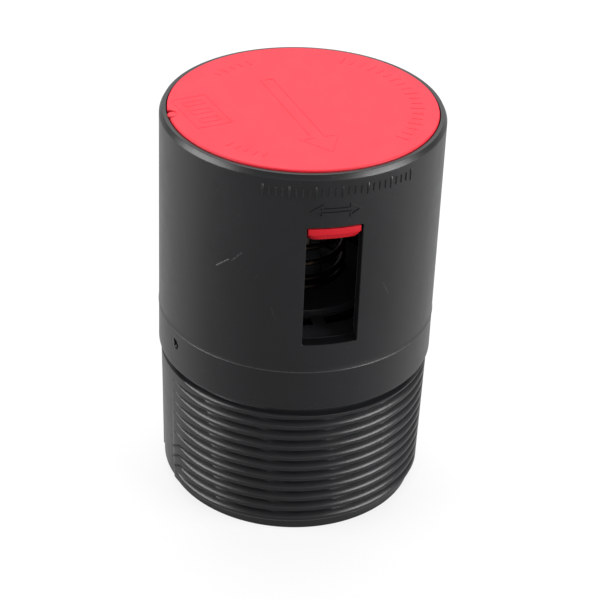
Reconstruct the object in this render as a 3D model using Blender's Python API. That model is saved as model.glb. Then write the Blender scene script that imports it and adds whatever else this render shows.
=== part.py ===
"""Air admittance valve with a 1-1/2 inch pipe thread.

A one-piece moulded housing carries the thread, the collar, two windows and a ported deck. A red cap snaps
into its top. A rubber disc on a sprung stem closes the ports from below and is drawn down when the pipe runs
at negative pressure. Metres, +Z up, origin at the centre of the threaded end.
"""

import math

import bmesh
import bpy

MM = 0.001
TURN = 2 * math.pi
TINY = 1e-6

# Clearances
FACE_GAP = 0.3 * MM
SIDE_GAP = 0.3 * MM
STEM_RUN = 0.2 * MM

# Housing, outside
HOUSING_R = 24.4 * MM
HOUSING_DRAFT = 0.1 * MM
THREADED_LENGTH = 26.8 * MM
SLEEVE_LENGTH = 45.4 * MM
RIM_WALL = 0.95 * MM
RIM_FILLET = 0.8 * MM
COLLAR_CHAMFER = 0.35 * MM

# Thread: 11.5 turns to the inch, right-handed, with two smooth lands on the mould's parting line
THREAD_PITCH = 25.4 / 11.5 * MM
THREAD_STEP = 0.4 * MM
THREAD_TAPER = 0.5 * MM
THREAD_DEPTH = 1.05 * MM
CREST_FLAT = 0.7 * MM
FIRST_CREST_DROP = 0.15 * MM
GROOVE_WIDTH = 1.05 * MM
PLAIN_END = 1.5 * MM
RUN_OUT = 0.5 * MM
LAND_HALF_ANGLE = math.radians(12.5)
LAND_DROP = 0.25 * MM
END_CHAMFER = 0.25 * MM

# Pipe bore and chamber
PIPE_WALL = 1.95 * MM
BORE_DRAFT = 0.2 * MM
CHAMBER_WALL = 2.45 * MM
CHAMBER_DRAFT = 0.1 * MM

# Windows
WINDOW_COUNT = 2
WINDOW_AZIMUTH = math.radians(14.5)
WINDOW_WIDTH = 9.5 * MM
WINDOW_HEIGHT = 22.5 * MM
WINDOW_CORNER_R = 0.25 * MM
SILL_HEIGHT = 13.2 * MM

# Deck with its ports, seat lip, spring hub and stem guide
DECK_DROP = 0.6 * MM
DECK_THICKNESS = 2.6 * MM
SEAT_DEPTH = 1.2 * MM
SEAT_WIDTH = 0.8 * MM
PORT_EDGE = 0.4 * MM
PORT_WIDTH = 2.5 * MM
PORT_COUNT = 8
SPOKE_WIDTH = 2.2 * MM
HUB_EDGE = 0.5 * MM
HUB_RISE = 1.1 * MM
HUB_CHAMFER = 0.25 * MM
GUIDE_WALL = 1.8 * MM
GUIDE_HEIGHT = 5.5 * MM

# Cap
CAP_SEAT_DEPTH = 3.2 * MM
CAP_PROUD = 0.15 * MM
CAP_EDGE_FILLET = 0.7 * MM
CAP_PLATE = 2.15 * MM
SKIRT_WALL = 1.6 * MM
SKIRT_DEPTH = 3.3 * MM
TONGUE_WALL = 1.3 * MM
BARB_INSET = 0.35 * MM
BARB_LAND = 0.8 * MM
BARB_LAND_LEAST = 0.16 * MM
BARB_LEAD_IN = 2.4 * MM
BARB_CORNER_R = 1.2 * MM
GATE_AZIMUTH = math.radians(-77)
GATE_NOTCH_R = 1.7 * MM
GATE_NOTCH_DEPTH = 1.1 * MM
GATE_STUB_R = 0.85 * MM
GATE_STUB_HEIGHT = 0.55 * MM

# Valve
VALVE_TRAVEL = 6.0 * MM
DISC_GAP = 1.4 * MM
DISC_OVERHANG = 0.6 * MM
DISC_THICKNESS = 1.8 * MM
DISC_EDGE = 0.35 * MM
FLANGE_INSET = 2.3 * MM
FLANGE_THICKNESS = 1.3 * MM
FLANGE_RIB_COUNT = 6
FLANGE_RIB_WIDTH = 1.0 * MM
FLANGE_RIB_ROOT = 1.2 * MM
FLANGE_RIB_TIP = 0.45 * MM
FLANGE_BOSS_WALL = 2.0 * MM
FLANGE_BOSS_DEPTH = 1.5 * MM
STEM_R = 2.0 * MM
STEM_TIP_CHAMFER = 0.5 * MM
STEM_TIP_LENGTH = 1.6 * MM
WASHER_R = 7.5 * MM
WASHER_THICKNESS = 0.8 * MM

# Spring, its cup and the push nut
SPRING_R = 8.0 * MM
WIRE_R = 0.55 * MM
SPRING_PITCH = 3.08 * MM
ACTIVE_TURNS = 4
CLOSED_TURN_GAP = 0.12 * MM
SPRING_START = math.radians(-60)
CUP_PLATE = 1.5 * MM
CUP_RIM_WALL = 1.2 * MM
CUP_RIM_DEPTH = 2.0 * MM
CUP_BOSS_WALL = 1.9 * MM
CUP_CHAMFER = 0.5 * MM
NUT_R = 4.6 * MM
NUT_THICKNESS = 0.5 * MM
NUT_DISH = 0.45 * MM
NUT_SLOT_COUNT = 4
NUT_SLOT_WIDTH = 0.6 * MM
NUT_SLOT_REACH = 1.2 * MM
NUT_SLOT_HEIGHT = 3.0 * MM

# Facets
COLUMNS = 72
SMALL_COLUMNS = 48
WIRE_SIDES = 6
WIRE_STEPS = 18
FILLET_STEPS = 3
CORNER_SEGMENTS = 2
PORT_STEPS = 6
TONGUE_STEPS = 3
BARB_STEPS = 4
ROD_SIDES = 24
SHARP_ANGLE = math.radians(35)

# Heights that follow
SHOULDER_Z = THREADED_LENGTH
RIM_Z = SHOULDER_Z + SLEEVE_LENGTH
LEDGE_Z = RIM_Z - CAP_SEAT_DEPTH
SILL_Z = SHOULDER_Z + SILL_HEIGHT
LINTEL_Z = SILL_Z + WINDOW_HEIGHT
DECK_TOP = SILL_Z - DECK_DROP
DECK_BOTTOM = DECK_TOP - DECK_THICKNESS
SEAT_Z = DECK_BOTTOM - SEAT_DEPTH
HUB_TOP = DECK_TOP + HUB_RISE
GUIDE_TOP = HUB_TOP + GUIDE_HEIGHT
GROOVE_Z = SHOULDER_Z - GROOVE_WIDTH
DISC_TOP = SEAT_Z - FACE_GAP
DISC_BOTTOM = DISC_TOP - DISC_THICKNESS
FLANGE_TOP = DISC_BOTTOM - FACE_GAP
FLANGE_BOTTOM = FLANGE_TOP - FLANGE_THICKNESS
WASHER_BOTTOM = DISC_TOP + FACE_GAP
SPRING_BOTTOM = HUB_TOP + FACE_GAP
CLOSED_RISE = 2 * WIRE_R + CLOSED_TURN_GAP
SPRING_TOP = SPRING_BOTTOM + 2 * WIRE_R + 2 * CLOSED_RISE + ACTIVE_TURNS * SPRING_PITCH
CUP_BOTTOM = SPRING_TOP + FACE_GAP
CUP_TOP = CUP_BOTTOM + CUP_PLATE
CUP_BOSS_BOTTOM = GUIDE_TOP + VALVE_TRAVEL + FACE_GAP
NUT_BOTTOM = CUP_TOP + FACE_GAP
STEM_TOP = NUT_BOTTOM + NUT_THICKNESS + NUT_DISH + STEM_TIP_LENGTH
CAP_TOP = RIM_Z + CAP_PROUD
CAP_UNDERSIDE = LEDGE_Z + FACE_GAP
SKIRT_BOTTOM = LEDGE_Z - SKIRT_DEPTH
BARB_TOP = LINTEL_Z - FACE_GAP
BARB_BOTTOM = BARB_TOP - BARB_LAND - BARB_LEAD_IN

# Radii that follow
HOUSING_LOW_R = HOUSING_R - HOUSING_DRAFT
CREST_TOP_R = HOUSING_LOW_R - THREAD_STEP
CREST_END_R = CREST_TOP_R - THREAD_TAPER
PLAIN_END_R = CREST_END_R - THREAD_DEPTH
BORE_MOUTH_R = PLAIN_END_R - PIPE_WALL
BORE_R = BORE_MOUTH_R - BORE_DRAFT
CHAMBER_TOP_R = HOUSING_R - CHAMBER_WALL
CHAMBER_LOW_R = CHAMBER_TOP_R - CHAMBER_DRAFT
COUNTERBORE_R = HOUSING_R - RIM_WALL
DISC_R = BORE_R - DISC_GAP
SEAT_OUTER_R = DISC_R - DISC_OVERHANG
SEAT_INNER_R = SEAT_OUTER_R - SEAT_WIDTH
PORT_OUTER_R = SEAT_INNER_R - PORT_EDGE
PORT_INNER_R = PORT_OUTER_R - PORT_WIDTH
HUB_R = PORT_INNER_R - HUB_EDGE
GUIDE_BORE_R = STEM_R + STEM_RUN
GUIDE_R = GUIDE_BORE_R + GUIDE_WALL
CAP_R = COUNTERBORE_R - SIDE_GAP
SKIRT_R = CHAMBER_TOP_R - CHAMBER_DRAFT - SIDE_GAP
BARB_R = HOUSING_R - BARB_INSET
CUP_INNER_R = SPRING_R + WIRE_R + SIDE_GAP


def clear_scene():
    for obj in list(bpy.data.objects):
        bpy.data.objects.remove(obj, do_unlink=True)


def material(name, colour, roughness, metallic=0.0):
    made = bpy.data.materials.new(name)
    made.use_nodes = True
    shader = made.node_tree.nodes["Principled BSDF"]
    shader.inputs["Base Color"].default_value = (*colour, 1.0)
    shader.inputs["Roughness"].default_value = roughness
    shader.inputs["Metallic"].default_value = metallic
    return made


def object_from(bm, name, made_of=None):
    """A new object at the origin that holds this mesh, with its normals set outwards."""
    bmesh.ops.recalc_face_normals(bm, faces=bm.faces)
    mesh = bpy.data.meshes.new(name)
    bm.to_mesh(mesh)
    bm.free()
    obj = bpy.data.objects.new(name, mesh)
    bpy.context.collection.objects.link(obj)
    if made_of:
        mesh.materials.append(made_of)
        mesh.shade_smooth()
        mesh.set_sharp_from_angle(angle=SHARP_ANGLE)
    return obj


def cutter(bm, name):
    """A helper shape for a Boolean, left out of the render."""
    obj = object_from(bm, name)
    obj.hide_render = True
    obj.display_type = "WIRE"
    return obj


def boolean(obj, helper, operation):
    modifier = obj.modifiers.new(helper.name, "BOOLEAN")
    modifier.object = helper
    modifier.operation = operation
    modifier.solver = "EXACT"


def rounded(corners):
    """The outline through these (r, z) or (r, z, fillet) corners, each fillet turned into a short arc."""
    outline = []
    for i, corner in enumerate(corners):
        r, z = corner[:2]
        fillet = corner[2] if len(corner) > 2 else 0.0
        if not fillet:
            outline.append((r, z))
            continue
        before = corners[i - 1]
        after = corners[(i + 1) % len(corners)]
        a = math.atan2(before[1] - z, before[0] - r)
        b = math.atan2(after[1] - z, after[0] - r)
        half = abs((b - a + math.pi) % TURN - math.pi) / 2
        reach = fillet / math.tan(half)
        middle = math.atan2(math.sin(a) + math.sin(b), math.cos(a) + math.cos(b))
        away = fillet / math.sin(half)
        centre = (r + math.cos(middle) * away, z + math.sin(middle) * away)
        start = math.atan2(z + math.sin(a) * reach - centre[1], r + math.cos(a) * reach - centre[0])
        stop = math.atan2(z + math.sin(b) * reach - centre[1], r + math.cos(b) * reach - centre[0])
        sweep = (stop - start + math.pi) % TURN - math.pi
        for step in range(FILLET_STEPS + 1):
            angle = start + sweep * step / FILLET_STEPS
            outline.append((centre[0] + fillet * math.cos(angle), centre[1] + fillet * math.sin(angle)))
    return outline


def turned(outline, columns, closed=True):
    """A body turned about Z, from a closed outline or from an open one that starts and ends on the axis."""
    bm = bmesh.new()
    verts = [bm.verts.new((r, 0, z)) for r, z in outline]
    pairs = list(zip(verts, verts[1:]))
    if closed:
        pairs.append((verts[-1], verts[0]))
    edges = [bm.edges.new(pair) for pair in pairs]
    bmesh.ops.spin(
        bm, geom=verts + edges, cent=(0, 0, 0), axis=(0, 0, 1), angle=TURN, steps=columns, use_merge=True
    )
    bmesh.ops.remove_doubles(bm, verts=bm.verts, dist=TINY)
    return bm


def loft(bm, rings):
    """A closed skin through rings of points that all have the same count, added to this mesh."""
    loops = [[bm.verts.new(point) for point in ring] for ring in rings]
    count = len(loops[0])
    for one, other in zip(loops, loops[1:]):
        for i in range(count):
            j = (i + 1) % count
            bm.faces.new((one[i], one[j], other[j], other[i]))
    bm.faces.new(loops[0])
    bm.faces.new(loops[-1])


def spot(along, across, z, turn):
    """The point this far out along a direction, and this far to its left."""
    x = along * math.cos(turn) - across * math.sin(turn)
    y = along * math.sin(turn) + across * math.cos(turn)
    return (x, y, z)


def on_cylinder(r, across, z, turn):
    """The point this far to the left of a direction, at this radius."""
    return spot(math.sqrt(r * r - across * across), across, z, turn)


def box(bm, size, turn, distance, z):
    """A box of (along, across, up) size, its middle at this distance from the axis, turned about Z."""
    corners = bmesh.ops.create_cube(bm, size=1.0)["verts"]
    for vert in corners:
        along, across, up = (place * length for place, length in zip(vert.co, size))
        vert.co = spot(distance + along, across, z + up, turn)


def facing(azimuth):
    """The angle from +X of a direction given as an azimuth from the front, which is -Y, towards +X."""
    return azimuth - math.pi / 2


def window_turns():
    return [facing(WINDOW_AZIMUTH) + TURN * i / WINDOW_COUNT for i in range(WINDOW_COUNT)]


def land_turns():
    """The middles of the two lands, a quarter turn either side of the first window."""
    return [facing(WINDOW_AZIMUTH) + side * math.pi / 2 for side in (-1, 1)]


def on_land(turn):
    """Whether this angle from +X lies on a smooth land."""
    return any(
        abs((turn - middle + math.pi) % TURN - math.pi) <= LAND_HALF_ANGLE + TINY for middle in land_turns()
    )


def thread_rise(turn):
    """How far the helix has climbed at this angle: right-handed, and back down inside the first land."""
    start = land_turns()[0] + LAND_HALF_ANGLE
    travelled = (turn - start + TINY) % TURN
    climbing = TURN - 2 * LAND_HALF_ANGLE
    if travelled <= climbing:
        return THREAD_PITCH * travelled / TURN
    return THREAD_PITCH * (TURN - travelled) / TURN * climbing / (TURN - climbing)


def thread_rows():
    """Rings of (r, z) points from the groove to the plain end: two on each crest and one in each root."""
    start = land_turns()[0] + LAND_HALF_ANGLE
    turns = [start + TURN * column / COLUMNS for column in range(COLUMNS)]
    thread_length = GROOVE_Z - PLAIN_END
    count = math.ceil((thread_length + FIRST_CREST_DROP + GROOVE_WIDTH) / THREAD_PITCH) + 1
    rows = []
    for crest in range(count):
        for offset, ridge in ((CREST_FLAT / 2, 1.0), (-CREST_FLAT / 2, 1.0), (-THREAD_PITCH / 2, 0.0)):
            level = SHOULDER_Z - FIRST_CREST_DROP - crest * THREAD_PITCH + offset
            row = []
            for turn in turns:
                z = min(max(level + thread_rise(turn), PLAIN_END), GROOVE_Z)
                down = (GROOVE_Z - z) / thread_length
                crest_r = CREST_TOP_R - THREAD_TAPER * down
                fade = min(1.0, (GROOVE_Z - z) / RUN_OUT, (z - PLAIN_END) / RUN_OUT)
                root_r = crest_r - THREAD_DEPTH
                top_r = crest_r - LAND_DROP * down if on_land(turn) else root_r + THREAD_DEPTH * ridge
                row.append((root_r + (top_r - root_r) * fade, z))
            if max(z for r, z in row) > PLAIN_END and min(z for r, z in row) < GROOVE_Z:
                rows.append(row)
    return turns, rows


def housing_mesh():
    """The closed wall of the housing, as rings from the rim down the outside and back up through the bore."""
    turns, threads = thread_rows()
    rim = rounded([(COUNTERBORE_R, RIM_Z), (HOUSING_R, RIM_Z, RIM_FILLET), (HOUSING_LOW_R, SHOULDER_Z)])[:-1]
    outside = rim + [
        (HOUSING_LOW_R, SHOULDER_Z + COLLAR_CHAMFER),
        (HOUSING_LOW_R - COLLAR_CHAMFER, SHOULDER_Z),
        (CREST_TOP_R - THREAD_DEPTH, SHOULDER_Z),
        (CREST_TOP_R - THREAD_DEPTH, GROOVE_Z),
    ]
    inside = [
        (PLAIN_END_R, PLAIN_END),
        (PLAIN_END_R, END_CHAMFER),
        (PLAIN_END_R - END_CHAMFER, 0.0),
        (BORE_MOUTH_R + END_CHAMFER, 0.0),
        (BORE_MOUTH_R, END_CHAMFER),
        (BORE_R, DECK_BOTTOM),
        (SEAT_OUTER_R, DECK_BOTTOM),
        (SEAT_OUTER_R, SEAT_Z),
        (SEAT_INNER_R, SEAT_Z),
        (SEAT_INNER_R, DECK_BOTTOM),
        (GUIDE_BORE_R, DECK_BOTTOM),
        (GUIDE_BORE_R, GUIDE_TOP),
        (GUIDE_R, GUIDE_TOP),
        (GUIDE_R, HUB_TOP),
        (HUB_R - HUB_CHAMFER, HUB_TOP),
        (HUB_R, HUB_TOP - HUB_CHAMFER),
        (HUB_R, DECK_TOP),
        (CHAMBER_LOW_R, DECK_TOP),
        (CHAMBER_TOP_R, LEDGE_Z),
        (COUNTERBORE_R, LEDGE_Z),
    ]
    rings = [[point] * COLUMNS for point in outside] + threads + [[point] * COLUMNS for point in inside]
    bm = bmesh.new()
    loops = [
        [bm.verts.new((r * math.cos(turn), r * math.sin(turn), z)) for (r, z), turn in zip(ring, turns)]
        for ring in rings
    ]
    for upper, lower in zip(loops, loops[1:] + loops[:1]):
        for i in range(COLUMNS):
            j = (i + 1) % COLUMNS
            bm.faces.new((upper[i], upper[j], lower[j], lower[i]))
    bmesh.ops.remove_doubles(bm, verts=bm.verts, dist=TINY)
    return bm


def window_cutter():
    """One rounded bar for each window, from inside the chamber to past the wall."""
    bm = bmesh.new()
    inner = CHAMBER_LOW_R - WINDOW_WIDTH / 2
    outer = HOUSING_R + WINDOW_WIDTH / 2
    reach = outer - inner
    for turn in window_turns():
        piece = bmesh.new()
        box(piece, (reach, WINDOW_WIDTH, WINDOW_HEIGHT), turn, (inner + outer) / 2, (SILL_Z + LINTEL_Z) / 2)
        along = [
            edge
            for edge in piece.edges
            if abs(edge.calc_length() - reach) < TINY
            and abs(edge.verts[0].co.z - edge.verts[1].co.z) < TINY
        ]
        bmesh.ops.bevel(
            piece, geom=along, offset=WINDOW_CORNER_R, segments=CORNER_SEGMENTS, profile=0.5, affect="EDGES"
        )
        part = bpy.data.meshes.new("window_bar")
        piece.to_mesh(part)
        piece.free()
        bm.from_mesh(part)
        bpy.data.meshes.remove(part)
    return cutter(bm, "window_cutter")


def port_cutter():
    """Arc slots through the deck, between the spokes."""
    bm = bmesh.new()
    low = DECK_BOTTOM - SEAT_DEPTH / 2
    high = DECK_TOP + HUB_RISE / 2
    section = ((PORT_INNER_R, low), (PORT_OUTER_R, low), (PORT_OUTER_R, high), (PORT_INNER_R, high))
    for port in range(PORT_COUNT):
        middle = facing(WINDOW_AZIMUTH) + TURN * (port + 0.5) / PORT_COUNT
        rings = []
        for i in range(PORT_STEPS + 1):
            ring = []
            for r, z in section:
                half = math.pi / PORT_COUNT - math.asin(SPOKE_WIDTH / 2 / r)
                ring.append(spot(r, 0.0, z, middle - half + 2 * half * i / PORT_STEPS))
            rings.append(ring)
        loft(bm, rings)
    return cutter(bm, "port_cutter")


def make_housing(black):
    housing = object_from(housing_mesh(), "housing", black)
    boolean(housing, window_cutter(), "DIFFERENCE")
    boolean(housing, port_cutter(), "DIFFERENCE")


def tongue(name, turn):
    """A tongue that hangs from the skirt into a window, its barb caught under the window's top edge."""
    half_width = WINDOW_WIDTH / 2 - SIDE_GAP
    outer = SKIRT_R - (SKIRT_WALL - TONGUE_WALL) / 2
    inner = outer - TONGUE_WALL
    flat = half_width - BARB_CORNER_R
    places = [flat * i / TONGUE_STEPS for i in range(TONGUE_STEPS)]
    places += [flat + BARB_CORNER_R * math.sin(math.pi / 2 * i / BARB_STEPS) for i in range(BARB_STEPS + 1)]
    places = [-place for place in reversed(places[1:])] + places
    rings = []
    for place in places:
        over = max(0.0, abs(place) - flat)
        lift = BARB_CORNER_R - math.sqrt(max(0.0, BARB_CORNER_R**2 - over**2))
        section = (
            (inner, LEDGE_Z),
            (inner, BARB_BOTTOM + lift),
            (outer, BARB_BOTTOM + lift),
            (BARB_R, min(BARB_TOP - BARB_LAND + lift, BARB_TOP - BARB_LAND_LEAST)),
            (BARB_R, BARB_TOP),
            (outer, BARB_TOP),
            (outer, LEDGE_Z),
        )
        rings.append([on_cylinder(r, place, z, turn) for r, z in section])
    bm = bmesh.new()
    loft(bm, rings)
    return cutter(bm, name)


def rod(name, r, low, high, centre):
    """An upright cylinder, used as a Boolean's helper."""
    bm = bmesh.new()
    bmesh.ops.create_cone(bm, cap_ends=True, segments=ROD_SIDES, radius1=r, radius2=r, depth=high - low)
    bmesh.ops.translate(bm, verts=bm.verts, vec=(centre[0], centre[1], (low + high) / 2))
    return cutter(bm, name)


def make_cap(red):
    outline = rounded([
        (0.0, CAP_TOP),
        (CAP_R, CAP_TOP, CAP_EDGE_FILLET),
        (CAP_R, CAP_UNDERSIDE),
        (SKIRT_R, CAP_UNDERSIDE),
        (SKIRT_R, SKIRT_BOTTOM),
        (SKIRT_R - SKIRT_WALL, SKIRT_BOTTOM),
        (SKIRT_R - SKIRT_WALL, CAP_TOP - CAP_PLATE),
        (0.0, CAP_TOP - CAP_PLATE),
    ])
    cap = object_from(turned(outline, COLUMNS, closed=False), "cap", red)
    for index, turn in enumerate(window_turns()):
        boolean(cap, tongue(f"tongue_{index + 1}", turn), "UNION")
    gate = facing(GATE_AZIMUTH)
    centre = (CAP_R * math.cos(gate), CAP_R * math.sin(gate))
    floor = CAP_TOP - GATE_NOTCH_DEPTH
    boolean(cap, rod("gate_notch", GATE_NOTCH_R, floor, CAP_TOP + GATE_NOTCH_DEPTH, centre), "DIFFERENCE")
    inset = CAP_R - GATE_STUB_R - SIDE_GAP
    stub_centre = (inset * math.cos(gate), inset * math.sin(gate))
    stub = rod("gate_stub", GATE_STUB_R, floor - GATE_STUB_HEIGHT, floor + GATE_STUB_HEIGHT, stub_centre)
    boolean(cap, stub, "UNION")


def make_stem(white):
    """The stem, in one piece with the flange that carries the rubber disc and the ribs under it."""
    flange_r = DISC_R - FLANGE_INSET
    boss_r = STEM_R + FLANGE_BOSS_WALL
    outline = [
        (0.0, STEM_TOP),
        (STEM_R - STEM_TIP_CHAMFER, STEM_TOP),
        (STEM_R, STEM_TOP - STEM_TIP_CHAMFER),
        (STEM_R, FLANGE_TOP),
        (flange_r, FLANGE_TOP),
        (flange_r, FLANGE_BOTTOM),
        (boss_r, FLANGE_BOTTOM),
        (boss_r, FLANGE_BOTTOM - FLANGE_BOSS_DEPTH),
        (0.0, FLANGE_BOTTOM - FLANGE_BOSS_DEPTH),
    ]
    stem = object_from(turned(outline, SMALL_COLUMNS, closed=False), "stem", white)
    outer = flange_r - FLANGE_RIB_WIDTH
    middle = FLANGE_BOTTOM + FLANGE_THICKNESS / 2
    section = (
        (STEM_R, FLANGE_BOTTOM - FLANGE_RIB_ROOT),
        (outer, FLANGE_BOTTOM - FLANGE_RIB_TIP),
        (outer, middle),
        (STEM_R, middle),
    )
    bm = bmesh.new()
    for index in range(FLANGE_RIB_COUNT):
        turn = facing(WINDOW_AZIMUTH) + TURN * (index + 0.5) / FLANGE_RIB_COUNT
        sides = (-FLANGE_RIB_WIDTH / 2, FLANGE_RIB_WIDTH / 2)
        loft(bm, [[spot(r, side, z, turn) for r, z in section] for side in sides])
    boolean(stem, cutter(bm, "flange_ribs"), "UNION")


def make_seal_disc(rubber):
    hole = STEM_R + STEM_RUN
    outline = [
        (hole, DISC_TOP),
        (DISC_R - DISC_EDGE, DISC_TOP),
        (DISC_R, DISC_TOP - DISC_EDGE),
        (DISC_R, DISC_BOTTOM + DISC_EDGE),
        (DISC_R - DISC_EDGE, DISC_BOTTOM),
        (hole, DISC_BOTTOM),
    ]
    object_from(turned(outline, COLUMNS), "seal_disc", rubber)


def make_disc_washer(steel):
    hole = STEM_R + STEM_RUN
    outline = [
        (hole, WASHER_BOTTOM),
        (hole, WASHER_BOTTOM + WASHER_THICKNESS),
        (WASHER_R, WASHER_BOTTOM + WASHER_THICKNESS),
        (WASHER_R, WASHER_BOTTOM),
    ]
    object_from(turned(outline, SMALL_COLUMNS), "disc_washer", steel)


def spring_height(turns):
    """Height of the wire's centre after this many turns: a closed turn, the open turns and a closed turn."""
    total = ACTIVE_TURNS + 2
    base = SPRING_BOTTOM + WIRE_R
    if turns <= 1:
        return base + CLOSED_RISE * turns
    if turns >= total - 1:
        return base + CLOSED_RISE * (turns - total + 2) + ACTIVE_TURNS * SPRING_PITCH
    return base + CLOSED_RISE + (turns - 1) * SPRING_PITCH


def make_spring(steel):
    rings = []
    for step in range((ACTIVE_TURNS + 2) * WIRE_STEPS + 1):
        turns = step / WIRE_STEPS
        ring = []
        for side in range(WIRE_SIDES):
            angle = TURN * (side + 0.5) / WIRE_SIDES
            r = SPRING_R + WIRE_R * math.cos(angle)
            z = spring_height(turns) + WIRE_R * math.sin(angle)
            ring.append(spot(r, 0.0, z, facing(SPRING_START) + TURN * turns))
        rings.append(ring)
    bm = bmesh.new()
    loft(bm, rings)
    object_from(bm, "spring", steel)


def make_spring_cup(white):
    """The upside-down cup that the spring pushes up, its boss the stop on the guide at full travel."""
    hole = STEM_R + STEM_RUN
    boss_r = hole + CUP_BOSS_WALL
    rim_r = CUP_INNER_R + CUP_RIM_WALL
    outline = [
        (hole, CUP_TOP),
        (hole, CUP_BOSS_BOTTOM),
        (boss_r, CUP_BOSS_BOTTOM),
        (boss_r, CUP_BOTTOM),
        (CUP_INNER_R, CUP_BOTTOM),
        (CUP_INNER_R, CUP_BOTTOM - CUP_RIM_DEPTH),
        (rim_r, CUP_BOTTOM - CUP_RIM_DEPTH),
        (rim_r, CUP_TOP - CUP_CHAMFER),
        (rim_r - CUP_CHAMFER, CUP_TOP),
    ]
    object_from(turned(outline, SMALL_COLUMNS), "spring_cup", white)


def make_push_nut(steel):
    """A dished spring-steel push nut, slotted from its hole so that its tongues grip the stem."""
    hole = STEM_R + STEM_RUN
    outline = [
        (hole, NUT_BOTTOM + NUT_DISH),
        (hole, NUT_BOTTOM + NUT_DISH + NUT_THICKNESS),
        (NUT_R, NUT_BOTTOM + NUT_THICKNESS),
        (NUT_R, NUT_BOTTOM),
    ]
    nut = object_from(turned(outline, SMALL_COLUMNS), "push_nut", steel)
    bm = bmesh.new()
    start = hole / 2
    stop = hole + NUT_SLOT_REACH
    middle = NUT_BOTTOM + (NUT_THICKNESS + NUT_DISH) / 2
    size = (stop - start, NUT_SLOT_WIDTH, NUT_SLOT_HEIGHT)
    for index in range(NUT_SLOT_COUNT):
        box(bm, size, TURN * index / NUT_SLOT_COUNT, (start + stop) / 2, middle)
    boolean(nut, cutter(bm, "nut_slots"), "DIFFERENCE")


def main():
    clear_scene()
    black = material("black_plastic", (0.022, 0.022, 0.024), 0.45)
    red = material("red_plastic", (0.82, 0.03, 0.06), 0.38)
    white = material("white_plastic", (0.75, 0.74, 0.70), 0.45)
    rubber = material("black_rubber", (0.03, 0.03, 0.03), 0.8)
    steel = material("spring_steel", (0.55, 0.52, 0.48), 0.3, 1.0)
    make_housing(black)
    make_cap(red)
    make_stem(white)
    make_seal_disc(rubber)
    make_disc_washer(steel)
    make_spring(steel)
    make_spring_cup(white)
    make_push_nut(steel)


main()
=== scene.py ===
"""The looks of an air admittance valve, built around the packed model and laid out as a Blender add-on.

Each operator makes one piece or two like ones: the black threaded housing, the red snap-in cap, and the
parts of the sprung valve inside. The last operator makes the stage, the lights and the camera.
"""

import math
from types import SimpleNamespace

import bmesh
import bpy
from bpy.props import FloatProperty, FloatVectorProperty, IntProperty, PointerProperty
from mathutils import Matrix, Vector, noise


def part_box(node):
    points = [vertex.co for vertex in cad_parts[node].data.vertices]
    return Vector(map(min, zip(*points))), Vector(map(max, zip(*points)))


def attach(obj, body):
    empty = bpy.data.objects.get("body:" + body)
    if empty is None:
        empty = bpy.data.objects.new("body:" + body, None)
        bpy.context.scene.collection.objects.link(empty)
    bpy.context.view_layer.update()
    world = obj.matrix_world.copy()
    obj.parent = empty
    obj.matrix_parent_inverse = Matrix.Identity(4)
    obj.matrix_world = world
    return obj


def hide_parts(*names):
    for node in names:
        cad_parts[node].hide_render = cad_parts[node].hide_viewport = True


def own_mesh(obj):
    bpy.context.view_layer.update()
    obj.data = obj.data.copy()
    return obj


bl_info = {
    "name": "Air admittance valve",
    "version": (1, 0, 0),
    "blender": (4, 5, 0),
    "location": "View3D > Sidebar > Valve",
    "description": "Makes a threaded air admittance valve with a snap-in cap and a sprung disc",
    "category": "Object",
}

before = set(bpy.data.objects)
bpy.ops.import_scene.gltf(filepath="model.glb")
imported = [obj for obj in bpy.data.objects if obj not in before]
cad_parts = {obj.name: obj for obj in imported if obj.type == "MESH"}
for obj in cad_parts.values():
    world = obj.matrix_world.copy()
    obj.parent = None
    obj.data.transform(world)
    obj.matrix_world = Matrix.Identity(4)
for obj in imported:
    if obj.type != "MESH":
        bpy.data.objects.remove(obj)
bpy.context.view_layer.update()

MM = 0.001
TURN = 2 * math.pi

# Boxes of the packed pieces
HOUSING_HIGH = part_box("housing")[1]
CAP_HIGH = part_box("cap")[1]
STEM_LOW, STEM_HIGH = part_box("stem")
DISC_LOW, DISC_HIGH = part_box("seal_disc")
WASHER_LOW, WASHER_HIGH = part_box("disc_washer")
SPRING_LOW, SPRING_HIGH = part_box("spring")
CUP_LOW, CUP_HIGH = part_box("spring_cup")
NUT_LOW, NUT_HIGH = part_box("push_nut")

# Facets
COLUMNS = 320
SMALL_COLUMNS = 144
FILLET_STEPS = 6
ROWS_PER_PITCH = 13
SLEEVE_ROW = 1.0 * MM
PORT_STEPS = 12

# Hole of the pieces on the stem
STEM_HOLE = 2.2 * MM

# Half the width of an arrow's head as a share of its length
HEAD_SHARE = 0.62

FLOOR_RADIUS = 3.0
PHOTO_PIXELS = 600
WHITE = (1.0, 1.0, 1.0, 1.0)


def length(name, description, millimetres):
    default = millimetres * MM
    return FloatProperty(name=name, description=description, default=default, unit="LENGTH", precision=5)


def angle(name, description, degrees):
    default = math.radians(degrees)
    return FloatProperty(name=name, description=description, default=default, subtype="ANGLE")


def amount(name, description, default, low=0.0, high=1.0, subtype="FACTOR"):
    return FloatProperty(
        name=name, description=description, default=default, min=low, max=high, subtype=subtype
    )


def colour(name, description, default):
    return FloatVectorProperty(
        name=name, description=description, default=default, subtype="COLOR", min=0.0, max=1.0
    )


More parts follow.
